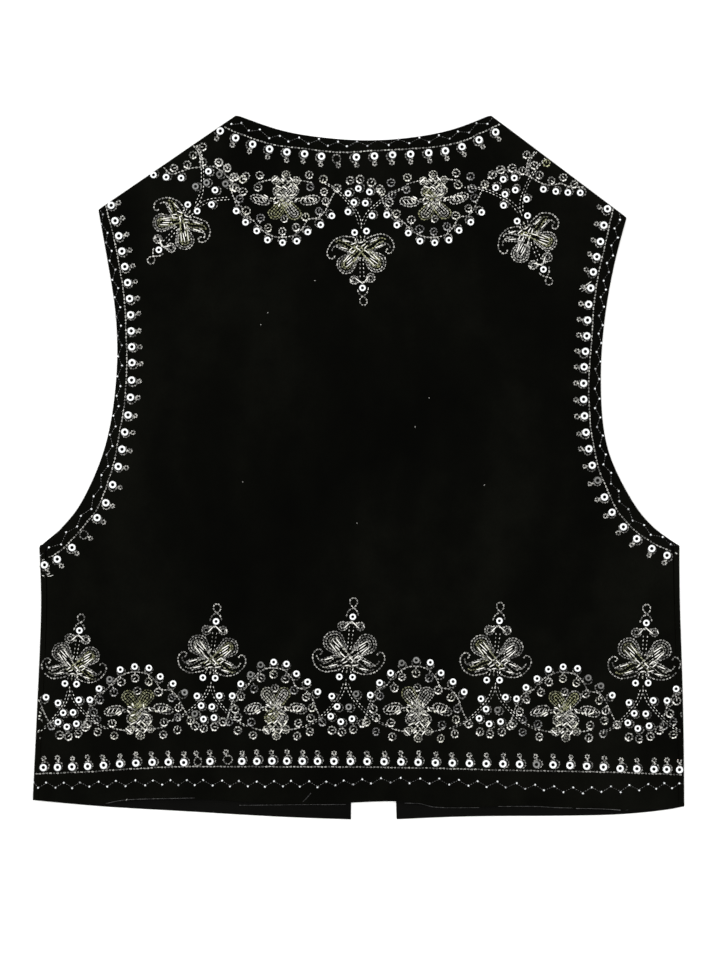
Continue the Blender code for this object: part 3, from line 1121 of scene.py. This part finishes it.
def shared(name, make):
    """A material that is made once and then used again."""
    return bpy.data.materials.get(name) or make()


def thread_material(work):
    """The thread's material."""
    return shared("metal_thread", lambda: thread_finish(work.thread.colour, work.thread.gold))


def sequin_material(work):
    """The sequins' material."""
    return shared("silver_sequin", lambda: sequin_finish(work.sparkle.sequin_colour))


def bead_material(work):
    """The beads' material."""
    return shared("silver_bead", lambda: bead_finish(work.sparkle.bead_colour))


class Motif:
    """A motif's own axes on the vest, v up from its foot and u to the right."""

    def __init__(self, work, x, y, turn=0.0, width=1.0, rise=1.0):
        self.work = work
        self.middle = (x, y)
        self.angle = -math.radians(turn)
        self.width = width
        self.rise = rise

    def at(self, u, v):
        """The x and y of a place in the motif."""
        u *= self.width
        v *= self.rise
        x = self.middle[0] + u * math.cos(self.angle) - v * math.sin(self.angle)
        y = self.middle[1] + u * math.sin(self.angle) + v * math.cos(self.angle)
        return x, y

    def chain(self, points, **how):
        """Chain stitch through places in the motif."""
        self.work.chain([self.at(*point) for point in points], **how)

    def dots(self, points, **how):
        """Short running stitches through places in the motif."""
        self.work.dots([self.at(*point) for point in points], **how)

    def ring(self, u, v, radius, **how):
        """A small closed loop at a place in the motif."""
        self.work.ring(*self.at(u, v), radius, **how)

    def loop(self, u, v, radius, **how):
        """A small loop with a stitch across it, at a place in the motif."""
        self.work.loop(*self.at(u, v), radius, **how)

    def hatch(self, strokes, **how):
        """Crisp straight stitches, each from its first u and v to its second."""
        for u, v, far_u, far_v in strokes:
            self.work.bright(self.at(u, v), self.at(far_u, far_v), **how)

    def sequin(self, u, v, dull=False):
        """A border's sequin at a place in the motif."""
        self.work.sequin(*self.at(u, v), dull, BORDER_SEQUIN)

    def oval(self, centre, half_long, half_wide, slope, **how):
        """A closed oval that lies along u, or a little up at the right."""
        points = []
        for part in range(15):
            angle = math.tau * part / 14
            u = half_long * math.cos(angle)
            v = half_wide * math.sin(angle) + slope * u
            points.append((centre[0] + u, centre[1] + v))
        self.chain(points, **how)

    def finger(self, root, centre, radius, spread, **how):
        """A long narrow U from beside the root, round a centre, and back."""
        out = (Vector(centre) - Vector(root)).normalized()
        turn = math.atan2(out.y, out.x)
        side = Vector((-out.y, out.x)) * spread
        points = [Vector(root) - side]
        for part in (-90, -60, -30, 0, 30, 60, 90):
            angle = turn + math.radians(part)
            points.append(Vector(centre) + Vector((math.cos(angle), math.sin(angle))) * radius)
        points.append(Vector(root) + side)
        self.chain(points, **how)


def mirrored(points, side):
    """Places that are drawn for the right, on the side that is 1 or -1."""
    return [(side * u, v) for u, v in points]


# Palmette: lobes as centre and radius; the middle of its heart, and where each lobe's lines
# start, out from that middle and up from the foot; and the outer lines of its two scrolls.
LOBES = ((-11.4, 24.3, 7.5), (12.0, 25.0, 7.1))
HEART_MIDDLE = 0.3
LINE_ROOTS = ((3.6, 17.2), (1.2, 13.6), (-5.0, 9.6))
SCROLLS = (
    (
        (-4.3, 5.4), (-8.0, 3.8), (-11.8, 2.9), (-15.5, 1.9), (-21.3, 4.3), (-24.4, 8.0),
        (-25.6, 12.4), (-24.2, 16.4), (-21.2, 18.0), (-18.6, 16.2), (-20.7, 13.6),
    ),
    (
        (4.3, 5.0), (9.0, 3.4), (14.0, 3.3), (18.6, 4.7), (22.6, 7.7), (25.4, 11.9),
        (26.5, 15.8), (25.0, 19.6), (21.9, 20.6), (20.2, 17.8),
    ),
)
# Strands of the leaf inside each scroll, as they run on the left, and how much higher they
# lie on the right. The second and the third may be gold.
STRANDS_UP = 0.8
WARM_STRANDS = (1, 2)
LEAF_STRANDS = (
    ((-4.6, 13.6), (-9.2, 14.8), (-12.8, 13.2), (-16.0, 11.8), (-19.4, 9.9)),
    ((-5.6, 14.2), (-9.1, 13.1), (-11.8, 11.0), (-14.1, 8.9), (-17.6, 7.9)),
    ((-4.2, 11.8), (-7.4, 10.6), (-11.6, 7.4), (-16.5, 5.3), (-19.6, 6.9)),
    ((-3.4, 8.2), (-6.6, 7.4), (-10.4, 5.9), (-14.4, 4.3)),
    ((-14.6, 9.8), (-18.4, 9.0), (-21.4, 10.6), (-22.6, 13.6)),
)
# Running stitches up the middle and at the foot, as they run on the right; chain stitch and
# crisp stitches at the heart; rings, bows, curls and crisp stitches at the tip.
MIDRIB = ((1.2, 20.5), (1.3, 28.0), (1.6, 36.5))
FOOT_DOTS = ((3.4, 2.6), (2.6, 5.6), (1.8, 8.0))
HEART_LINES = (
    ((0.3, 2.5), (0.0, 5.0), (0.2, 8.0)),
    ((-4.4, 6.4), (0.2, 8.6), (5.0, 6.6)),
)
HEART_HATCH = (
    (-6.7, 17.6, -1.9, 13.7), (0.2, 15.0, 4.5, 11.5), (-3.6, 9.5, 0.0, 11.5),
    (4.2, 13.6, 7.4, 16.7), (7.2, 16.5, 9.6, 14.7), (9.4, 14.7, 6.4, 11.7), (3.0, 8.2, 8.2, 9.9),
    (-2.2, 7.7, 1.6, 8.9), (-4.6, 11.0, -2.4, 13.5), (2.4, 10.2, 4.2, 12.4),
    (-12.9, 25.7, -6.2, 20.3), (-10.6, 21.8, -6.4, 18.2), (6.9, 20.5, 11.8, 25.0),
    (7.6, 18.8, 11.7, 22.2), (-14.6, 23.4, -8.6, 17.4), (-10.6, 27.4, -4.6, 21.0),
    (12.6, 27.4, 6.2, 22.6), (14.6, 23.6, 8.8, 17.2), (-17.2, 10.4, -10.4, 13.2),
    (-13.4, 6.0, -6.8, 8.6), (10.2, 13.4, 16.6, 11.2), (8.6, 7.4, 14.6, 6.6),
    (0.4, 20.0, 1.0, 21.0), (5.6, 19.6, 6.4, 20.6), (3.9, 5.0, 4.6, 6.8),
)
TIP_RINGS = ((-6.6, 36.0, 3.3), (6.2, 37.2, 3.1))
TIP_BOWS = (
    (1.0, ((-5.0, 38.6), (-1.2, 39.6), (2.6, 38.2), (4.4, 36.2))),
    (0.9, ((4.8, 39.6), (1.0, 38.8), (-2.4, 39.2), (-4.6, 35.0))),
)
TIP_CURLS = (
    ((-4.8, 43.0), (-3.4, 47.6), (0.4, 50.4), (2.4, 53.0), (1.9, 56.0), (-0.6, 57.2)),
    ((4.0, 44.6), (3.0, 48.0), (-0.6, 50.4), (-3.2, 52.8), (-3.2, 55.8), (-0.6, 57.2)),
)
TIP_HATCH = ((-5.4, 34.4, -1.6, 39.2), (-1.0, 40.8, 5.8, 35.6), (8.0, 39.0, 9.4, 36.4))
FOOT_SEQUINS = ((-4.7, -0.3), (4.6, 0.5))


def palmette(work, x, y, turn, length):
    """A palmette of two lobes and two scrolls round a heart, under a tip loop."""
    scale = length / PALMETTE_LENGTH
    leaf = Motif(work, x, y, turn, scale, scale)
    for (u, v, radius), scroll in zip(LOBES, SCROLLS):
        side = math.copysign(1.0, u)
        near, low, far = ((HEART_MIDDLE + side * out, up) for out, up in LINE_ROOTS)
        leaf.finger(near, (u, v), radius, 3.2, shine=0.8)
        leaf.finger(near, (u, v), radius * 0.76, 2.3, shine=0.7, step=2.2)
        warm = work.chance.choice((SILVER, CREAM, OLIVE, OLIVE))
        leaf.finger(low, (u, v), radius * 0.5, 2.3, tone=warm, shine=0.7)
        leaf.finger(far, (u, v), radius * 0.27, 1.0, tone=warm)
        leaf.chain(scroll)
        for number, strand in enumerate(LEAF_STRANDS):
            tone = warm if number in WARM_STRANDS else SILVER
            up = STRANDS_UP if side > 0 else 0.0
            points = [(u, v + up) for u, v in mirrored(strand, -side)]
            leaf.chain(points, tone=tone, shine=0.75, step=2.2)
        leaf.dots(mirrored(MIDRIB, side), step=2.9, stitch=1.4, wide=1.25, shine=0.85)
        leaf.dots(mirrored(FOOT_DOTS, side), step=2.4, shine=1.0)
    for line in HEART_LINES:
        leaf.chain(line, tone=CREAM)
    leaf.hatch(HEART_HATCH)
    for u, v, radius in TIP_RINGS:
        leaf.ring(u, v, radius, shine=0.95)
        leaf.ring(u, v, radius * 0.55, shine=0.6)
    for shine, bow in TIP_BOWS:
        leaf.chain(bow, shine=shine)
    leaf.hatch(TIP_HATCH)
    for curl in TIP_CURLS:
        leaf.chain(curl)
    leaf.sequin(0.0, PALMETTE_LENGTH)
    for u, v in FOOT_SEQUINS:
        leaf.sequin(u, v)


# Group below a palmette's foot: the right one of the crossing legs, which is a double line;
# the stitches between the legs; sequins and loops.
LEG = ((0.5, -4.0), (4.4, -13.7), (13.0, -23.8), (21.5, -31.0), (31.6, -36.2))
LEG_HALF = 1.2
LEGS_MIDDLE = ((0.2, -1.0), (0.0, -5.0))
GROUP_SEQUINS = (
    (-10.3, -13.5), (7.3, -12.0), (-6.4, -21.1), (1.9, -21.4), (-11.1, -28.0), (-3.9, -32.0),
    (4.2, -30.0),
)
GROUP_LOOPS = ((-10.3, -38.0), (-3.1, -39.4), (5.2, -37.6), (11.6, -33.2))


def foot_group(work, x, y, turn, width, rise, dull, reach):
    """The crossing double legs under a palmette, with sequins and loops between them."""
    group = Motif(work, x, y, turn, width, rise)
    for side, count in ((-1, len(LEG)), (1, reach)):
        for gap in (-LEG_HALF, LEG_HALF):
            line = [(u + gap, v) for u, v in mirrored(LEG[:count], side)]
            group.dots(line, step=2.7, stitch=1.6, shine=0.95, wide=1.1)
    group.dots(LEGS_MIDDLE, step=2.2)
    for number, (u, v) in enumerate(GROUP_SEQUINS):
        group.sequin(u, v, number in dull)
        group.ring(u + 1.2, v - 0.8, BORDER_RING, shine=RING_SHINE)
    for u, v in GROUP_LOOPS:
        group.loop(u, v, 2.8, shine=0.95)


# Flower round its heart: petals as centre and radius, and the tones that each may have.
PETALS = ((-6.9, 10.3, 4.5), (6.5, 10.5, 4.4), (-4.6, -6.4, 3.9), (5.6, -7.2, 3.9))
PETAL_TONES = (
    (OLIVE, OLIVE, CREAM),
    (SILVER, SILVER, OLIVE),
    (SILVER, CREAM, OLIVE),
    (SILVER, SILVER, CREAM),
)
# Side leaves: centres, half length and half width of their ovals, and the crisp stitches
# over each, as places along it and half a stitch. Stems with their tones, as they run on the
# right. The bud, and small loops and crisp stitches below.
SIDE_LEAVES = ((-17.4, 0.0), (17.4, 0.0))
LEAF_OVALS = ((6.8, 3.6), (4.9, 1.7))
LEAF_STITCHES = (-3.4, -0.6, 2.2)
LEAF_STITCH_HALF = (1.3, 2.2)
FLOWER_STEMS = (
    (SILVER, ((3.2, 0.4), (6.4, 1.4), (11.0, 0.4))),
    (CREAM, ((3.6, -1.8), (6.8, -1.2), (10.6, -1.2))),
    (CREAM, ((6.4, -5.4), (1.0, -10.4), (-4.2, -15.4))),
    (CREAM, ((8.8, -8.0), (4.0, -12.4), (-0.6, -16.8))),
)
BUD = (-0.5, 14.4)
FLOWER_LOOPS = ((-6.7, -15.2), (0.5, -19.4), (7.6, -14.8))
FLOWER_HATCH = (
    (-9.5, -13.6, -5.0, -18.0), (-6.6, -11.4, -2.5, -9.1), (1.7, -7.9, -1.9, -10.9),
    (1.7, -9.1, 5.2, -12.6), (5.8, -14.1, 2.9, -17.8), (9.1, -8.4, 6.2, -12.4),
    (-2.9, -16.5, -0.4, -14.4), (-2.6, -19.4, -0.4, -16.9), (-7.8, 2.9, -4.6, 1.8),
    (-8.2, 0.4, -6.2, -2.4), (-4.6, 5.4, -3.4, 2.6), (3.4, 4.6, 3.7, 1.0), (6.6, 1.0, 9.0, -1.4),
    (-16.6, -3.0, -12.2, -0.4), (-14.8, -4.0, -11.6, -1.8), (11.2, -0.6, 12.4, -2.4),
    (13.6, -0.4, 14.8, -2.2), (15.6, -2.6, 20.4, -0.4), (-2.6, -3.4, -6.0, -4.6),
    (2.6, -3.0, 7.4, -4.4),
)


def flower(cell):
    """A small flower of four petals, a bud and two oval side leaves."""
    chance = cell.work.chance
    for (u, v, radius), tones in zip(PETALS, PETAL_TONES):
        tone = chance.choice(tones)
        far = (-math.copysign(0.4, u), math.copysign(0.8, v))
        cell.finger(far, (u, v), radius, 2.9, tone=chance.choice(tones), shine=0.75, step=2.2)
        cell.finger(far, (u, v), radius * 0.62, 1.9, tone=tone, step=2.2)
        cell.finger(far, (u, v), radius * 0.24, 0.8, tone=tone, step=2.2)
    for u, v in SIDE_LEAVES:
        side = math.copysign(1.0, u)
        slope = -side * chance.uniform(0.12, 0.3)
        for half_long, half_wide in LEAF_OVALS:
            cell.oval((u, v), half_long, half_wide, slope, shine=0.8)
        out, up = LEAF_STITCH_HALF
        strokes = [(u + c - out, v - up, u + c + out, v + up) for c in LEAF_STITCHES]
        cell.hatch(strokes, wide=1.0)
        for tone, stem in FLOWER_STEMS:
            cell.chain(mirrored(stem, side), tone=tone)
    cell.loop(*BUD, 2.6, shine=0.7)
    for u, v in FLOWER_LOOPS:
        cell.ring(u, v, 2.9, tone=CREAM)
        cell.ring(u, v, 1.3, tone=CREAM)
    cell.hatch(FLOWER_HATCH[::2], wide=2.0)
    cell.hatch(FLOWER_HATCH[1::2], tone=CREAM, wide=1.8)


# Garland round a flower's heart: the arch, its sequins, the loops inside it, the low arc
# that joins the legs, and the loops along that.
ARCH = (
    (-38.6, -12.0), (-36.6, -5.0), (-33.4, 4.6), (-28.6, 12.8), (-22.0, 15.6), (-18.4, 20.6),
    (-11.0, 26.6), (-2.0, 28.8), (6.8, 26.8), (12.4, 21.2), (16.0, 14.8), (23.0, 13.6),
    (28.2, 7.4), (31.0, 0.4), (34.8, -7.0), (38.6, -12.0),
)
ARCH_SEQUINS = (
    (-33.7, 8.8), (-27.2, 17.2), (-19.5, 23.9), (-11.8, 30.8), (-1.7, 32.7), (8.3, 31.5),
    (15.9, 24.6), (24.6, 18.9), (32.4, 12.0),
)
ARCH_LOOPS = (
    (-31.4, -0.6), (-26.7, 8.4), (-16.8, 13.8), (-11.5, 21.4), (-1.7, 24.0), (7.6, 20.9),
    (14.2, 12.9), (23.4, 8.2), (28.0, 0.6),
)
LOW_ARC = (
    (-19.0, -13.2), (-12.5, -14.9), (-6.0, -15.5), (0.0, -14.4), (6.0, -15.4), (11.5, -14.9),
    (19.0, -13.2),
)
ARC_LOOPS = (
    (-29.2, -6.2), (-18.8, -9.6), (17.4, -10.2), (27.0, -6.6), (-36.0, -9.4), (36.0, -9.4),
    (-29.2, -15.6), (-17.6, -18.8), (16.6, -19.4), (26.4, -16.2),
)


def garland_cell(work, x, y, turn, width, rise, dull):
    """A flower under an arch of sequins, closed below by a low arc."""
    cell = Motif(work, x, y, turn, width, rise)
    cell.chain(ARCH, shine=0.85)
    cell.chain(LOW_ARC)
    for number, (u, v) in enumerate(ARCH_SEQUINS):
        cell.sequin(u, v, number in dull)
        cell.ring(u * 0.96, v - 1.6, BORDER_RING, shine=RING_SHINE)
    for u, v in ARCH_LOOPS + ARC_LOOPS:
        tone = work.chance.choice((GREY, SILVER, SILVER, CREAM))
        cell.loop(u, v, 2.7, tone=tone)
    for u, v in ARCH_LOOPS:
        cell.dots([(u, v + 2.6), (u * 1.05, v + 4.4)], step=1.8, stitch=1.8, shine=0.9)
    flower(cell)


def side_spray(work, sequins, loops, olive_loops, stems):
    """Sequins and loops on a curved stem that runs out under the shoulder seam."""
    for stem in stems:
        work.chain(stem)
    for spots, tone in ((loops, SILVER), (olive_loops, OLIVE)):
        for x, y in spots:
            work.loop(x, y, 2.6, tone)
    for x, y in sequins:
        work.sequin(x, y, size=BORDER_SEQUIN)
        work.ring(x + 1.0, y + 0.8, BORDER_RING, shine=RING_SHINE)


def drop(work, place, inward, reach, hand, kind):
    """One unit of a trimmed row: a sequin over a thread ring, and a small loop beyond."""
    chance = work.chance
    towards = Vector(inward)
    side = Vector((inward[1], -inward[0])) * hand
    middle = Vector(place)
    around = middle + towards * chance.uniform(0.3, 1.0) + side * chance.uniform(0.5, 1.6)
    work.ring(*around, EDGE_RING, shine=0.55)
    beyond = middle + towards * (reach + chance.gauss(0, 0.25)) + side * chance.gauss(0, 0.4)
    work.ring(*beyond, EDGE_LOOP, wide=1.2)
    work.chain([middle + towards * 2.6 + side * 1.2, beyond - towards * 1.2], shine=0.8)
    if kind != "lost":
        work.sequin(*place, kind == "dull")


def carried_on(row, reach=14.0):
    """The smooth line through a row's places, led straight on past both ends."""
    places = [Vector(place) for _, *place in row]
    before = places[0] + (places[0] - places[1]).normalized() * reach
    after = places[-1] + (places[-1] - places[-2]).normalized() * reach
    return smooth_line([before, *places, after])


def trimmed_row(work, line, row, lost, dull, inside, reach, hand):
    """Drops along a line, evenly spaced from each of a row's counted places to the next."""
    numbers = [number for number, _, _ in row]
    runs = [length_near(line, place) for _, *place in row]
    lengths = np.interp(np.arange(numbers[-1] + 1), numbers, runs)
    places = points_at(line, lengths)
    ahead = headings(line, lengths, 1.0)
    for number, (place, (dx, dy)) in enumerate(zip(places, ahead)):
        inward = np.array([-dy, dx]) * inside / math.hypot(dx, dy)
        kind = "lost" if number in lost else "dull" if number in dull else "bright"
        drop(work, place, inward, reach, hand, kind)


def bead_rows(work, line, inside, apart, numbers, lengths):
    """Two rows of beads on a thread that runs from one to the other and back.

    The lengths are those of the numbered beads; the even ones lie towards the edge.
    """
    count = np.arange(numbers[0], numbers[-1] + 1)
    lengths = np.interp(count, numbers, lengths)
    sides = np.where(count % 2, inside * apart / 2, -inside * apart / 2)
    middle = points_at(line, lengths)
    ahead = headings(line, lengths, 0.5)
    left = np.stack([-ahead[:, 1], ahead[:, 0]], axis=1)
    left /= np.maximum(np.linalg.norm(left, axis=1), 1e-6)[:, None]
    spots = middle + left * sides[:, None]
    for start, end in zip(spots, spots[1:]):
        work.dots([start, end], tone=GREY, shine=0.5, step=1.8, stitch=1.2, wide=0.6)
        off = np.array([work.chance.gauss(0, 0.2), work.chance.gauss(0, 0.25)])
        work.bead(*(start + off), work.chance.random() < 0.15)


# Operators


class VEST_OT_cloth(bpy.types.Operator):
    """Make the velvet shells of the back and both fronts"""

    bl_idname = "vest.cloth"
    bl_label = "Velvet cloth"

    def execute(self, context):
        settings = context.scene.vest_cloth
        velvet = velvet_finish(settings.velvet)
        inside = inside_finish(settings.inside)
        for panel, name, _, _, _ in PANELS:
            creases = BACK_CREASES if panel == "back" else FRONT_CREASES
            piece = cloth_shell(panel, name, creases, settings)
            piece.data.materials.clear()
            piece.data.materials.append(velvet)
            piece.data.materials.append(inside)
            if panel != "back":
                for polygon in piece.data.polygons:
                    polygon.material_index = int(plain_side(polygon))
            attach(piece, "root")
            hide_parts(panel)
        return {"FINISHED"}


class VEST_OT_edges(bpy.types.Operator):
    """Trim the neck, armholes and hem with chain stitch, sequins and beads"""

    bl_idname = "vest.edges"
    bl_label = "Trimmed edges"

    def execute(self, context):
        work = Needlework(context, seed=11)
        for edge in EDGES:
            line = carried_on(edge.row)
            work.chain(shifted(line, -edge.inside * edge.stitches)[::6], shine=0.8)
            middle = shifted(line, -edge.inside * edge.beads)
            bead_rows(work, middle, edge.inside, edge.apart, *zip(*edge.counted))
            kinds = (edge.lost, edge.dull)
            trimmed_row(work, line, edge.row, *kinds, edge.inside, EDGE_REACH, edge.hand)
        work.chain(HEM_LINE, shine=0.6)
        middle = smooth_line([place for _, *place in HEM_BEADS])
        numbers = [number for number, _, _ in HEM_BEADS]
        lengths = [length_near(middle, place) for _, *place in HEM_BEADS]
        bead_rows(work, middle, 1, HEM_BEADS_APART, numbers, lengths)
        trimmed_row(work, carried_on(HEM_ROW), HEM_ROW, HEM_LOST, HEM_DULL, 1, HEM_REACH, 1)
        work.pieces("edge")
        return {"FINISHED"}


class VEST_OT_hem_border(bpy.types.Operator):
    """Embroider the palmettes and garlands above the hem"""

    bl_idname = "vest.hem_border"
    bl_label = "Hem border"

    def execute(self, context):
        leaves = Needlework(context, seed=23, gleam=0.82)
        for place in HEM_PALMETTES:
            palmette(leaves, *place)
        for place in HEM_GROUPS:
            foot_group(leaves, *place)
        leaves.pieces("hem_palmette")
        garlands = Needlework(context, seed=31, gleam=0.92)
        for cell in HEM_CELLS:
            garland_cell(garlands, *cell)
        garlands.pieces("hem_garland")
        return {"FINISHED"}


class VEST_OT_neck_border(bpy.types.Operator):
    """Embroider the hanging palmettes and garlands below the neck"""

    bl_idname = "vest.neck_border"
    bl_label = "Neck border"

    def execute(self, context):
        leaves = Needlework(context, seed=47, gleam=1.12)
        for place in NECK_PALMETTES:
            palmette(leaves, *place)
        for place in NECK_GROUPS:
            foot_group(leaves, *place)
        leaves.pieces("neck_palmette")
        garlands = Needlework(context, seed=53, gleam=1.4)
        for cell in NECK_CELLS:
            garland_cell(garlands, *cell)
        garlands.gleam = 1.0
        for spray in (LEFT_SPRAY, RIGHT_SPRAY):
            side_spray(garlands, *spray)
        garlands.pieces("neck_garland")
        return {"FINISHED"}


class VEST_OT_loose_bits(bpy.types.Operator):
    """Add the loose thread ends and the lint on the pile"""

    bl_idname = "vest.loose_bits"
    bl_label = "Loose threads and lint"

    def execute(self, context):
        work = Needlework(context, seed=59)
        for line in LOOSE_THREADS:
            work.dots(line, step=1.4, stitch=2.0, shine=1.0)
        # Grey dashes by the hem: some are hairs, the rest a painted highlight along the hem's edge.
        for shine, wide, line in HAIRS_AND_GLINTS:
            work.dots(line, tone=GREY, shine=shine, step=1.6, stitch=2.1, wide=wide)
        for x, y, long in LINT:
            turn = work.chance.uniform(0, math.pi)
            half = Vector((math.cos(turn), math.sin(turn))) * long / 2
            ends = (Vector((x, y)) - half, Vector((x, y)) + half)
            work.lay("stitch", *ends, SHORT_STITCH, 1.2, LINT_LIFT, SILVER, 0.35)
        work.pieces("loose")
        return {"FINISHED"}


class VEST_OT_declare(bpy.types.Operator):
    """Do nothing: the cut of each cloth panel and what is sewn on it are not stated"""

    bl_idname = "vest.declare"
    bl_label = "Cloth cuts"

    def execute(self, context):
        return {"FINISHED"}


class VEST_OT_stage(bpy.types.Operator):
    """Set up the surface, the soft light and the camera above"""

    bl_idname = "vest.stage"
    bl_label = "Surface, light and camera"

    def execute(self, context):
        settings = context.scene.vest_stage
        top = bmesh.new()
        bmesh.ops.create_grid(top, x_segments=2, y_segments=2, size=FLOOR_HALF)
        mesh = bpy.data.meshes.new("pale_floor")
        top.to_mesh(mesh)
        top.free()
        mesh.materials.append(floor_finish(settings.floor))
        floor = bpy.data.objects.new("pale_floor", mesh)
        context.scene.collection.objects.link(floor)
        for name, place, turn, size, share in LAMPS:
            lamp = bpy.data.lights.new(name, "AREA")
            lamp.shape = "DISK"
            lamp.size = size
            lamp.energy = settings.light * share
            holder = bpy.data.objects.new(name, lamp)
            holder.location = place
            holder.rotation_euler = turn
            context.scene.collection.objects.link(holder)
        world = bpy.data.worlds.new("pale_room")
        world.use_nodes = True
        background = world.node_tree.nodes["Background"]
        background.inputs["Color"].default_value = ROOM_COLOUR
        background.inputs["Strength"].default_value = ROOM_STRENGTH
        context.scene.world = world
        context.scene.view_settings.view_transform = "Standard"
        lens = bpy.data.cameras.new("above")
        lens.sensor_fit = "VERTICAL"
        lens.sensor_height = SENSOR
        lens.lens = SENSOR * settings.distance / settings.view_height
        camera = bpy.data.objects.new("above", lens)
        camera.location = (*VIEW_MIDDLE, settings.distance)
        context.scene.collection.objects.link(camera)
        context.scene.camera = camera
        return {"FINISHED"}


class VEST_PT_panel(bpy.types.Panel):
    """The vest's steps and settings, in the order in which they run"""

    bl_idname = "VEST_PT_panel"
    bl_label = "Folk vest"
    bl_space_type = "VIEW_3D"
    bl_region_type = "UI"
    bl_category = "Vest"

    def draw(self, context):
        for step in STEPS:
            self.layout.operator(step.bl_idname)
        for _, label, name in SETTINGS:
            group = getattr(context.scene, name)
            box = self.layout.box()
            box.label(text=label)
            for setting in group.bl_rna.properties.keys():
                if setting not in ("rna_type", "name"):
                    box.prop(group, setting)


STEPS = (
    VEST_OT_cloth,
    VEST_OT_edges,
    VEST_OT_hem_border,
    VEST_OT_neck_border,
    VEST_OT_loose_bits,
    VEST_OT_declare,
    VEST_OT_stage,
)
SETTINGS = (
    (ClothSettings, "Cloth", "vest_cloth"),
    (ThreadSettings, "Thread", "vest_thread"),
    (SparkleSettings, "Sequins and beads", "vest_sparkle"),
    (StageSettings, "Stage", "vest_stage"),
)


def register():
    """Add the settings, operators and panel to Blender."""
    for group, _, name in SETTINGS:
        bpy.utils.register_class(group)
        setattr(bpy.types.Scene, name, PointerProperty(type=group))
    for step in STEPS:
        bpy.utils.register_class(step)
    bpy.utils.register_class(VEST_PT_panel)


def unregister():
    """Take the panel, operators and settings out again."""
    bpy.utils.unregister_class(VEST_PT_panel)
    for step in reversed(STEPS):
        bpy.utils.unregister_class(step)
    for group, _, name in reversed(SETTINGS):
        delattr(bpy.types.Scene, name)
        bpy.utils.unregister_class(group)


def main():
    """Make the vest and its stage."""
    register()
    bpy.ops.vest.cloth()
    bpy.ops.vest.edges()
    bpy.ops.vest.hem_border()
    bpy.ops.vest.neck_border()
    bpy.ops.vest.loose_bits()
    bpy.ops.vest.declare()
    bpy.ops.vest.stage()


if __name__ == "__main__":
    main()
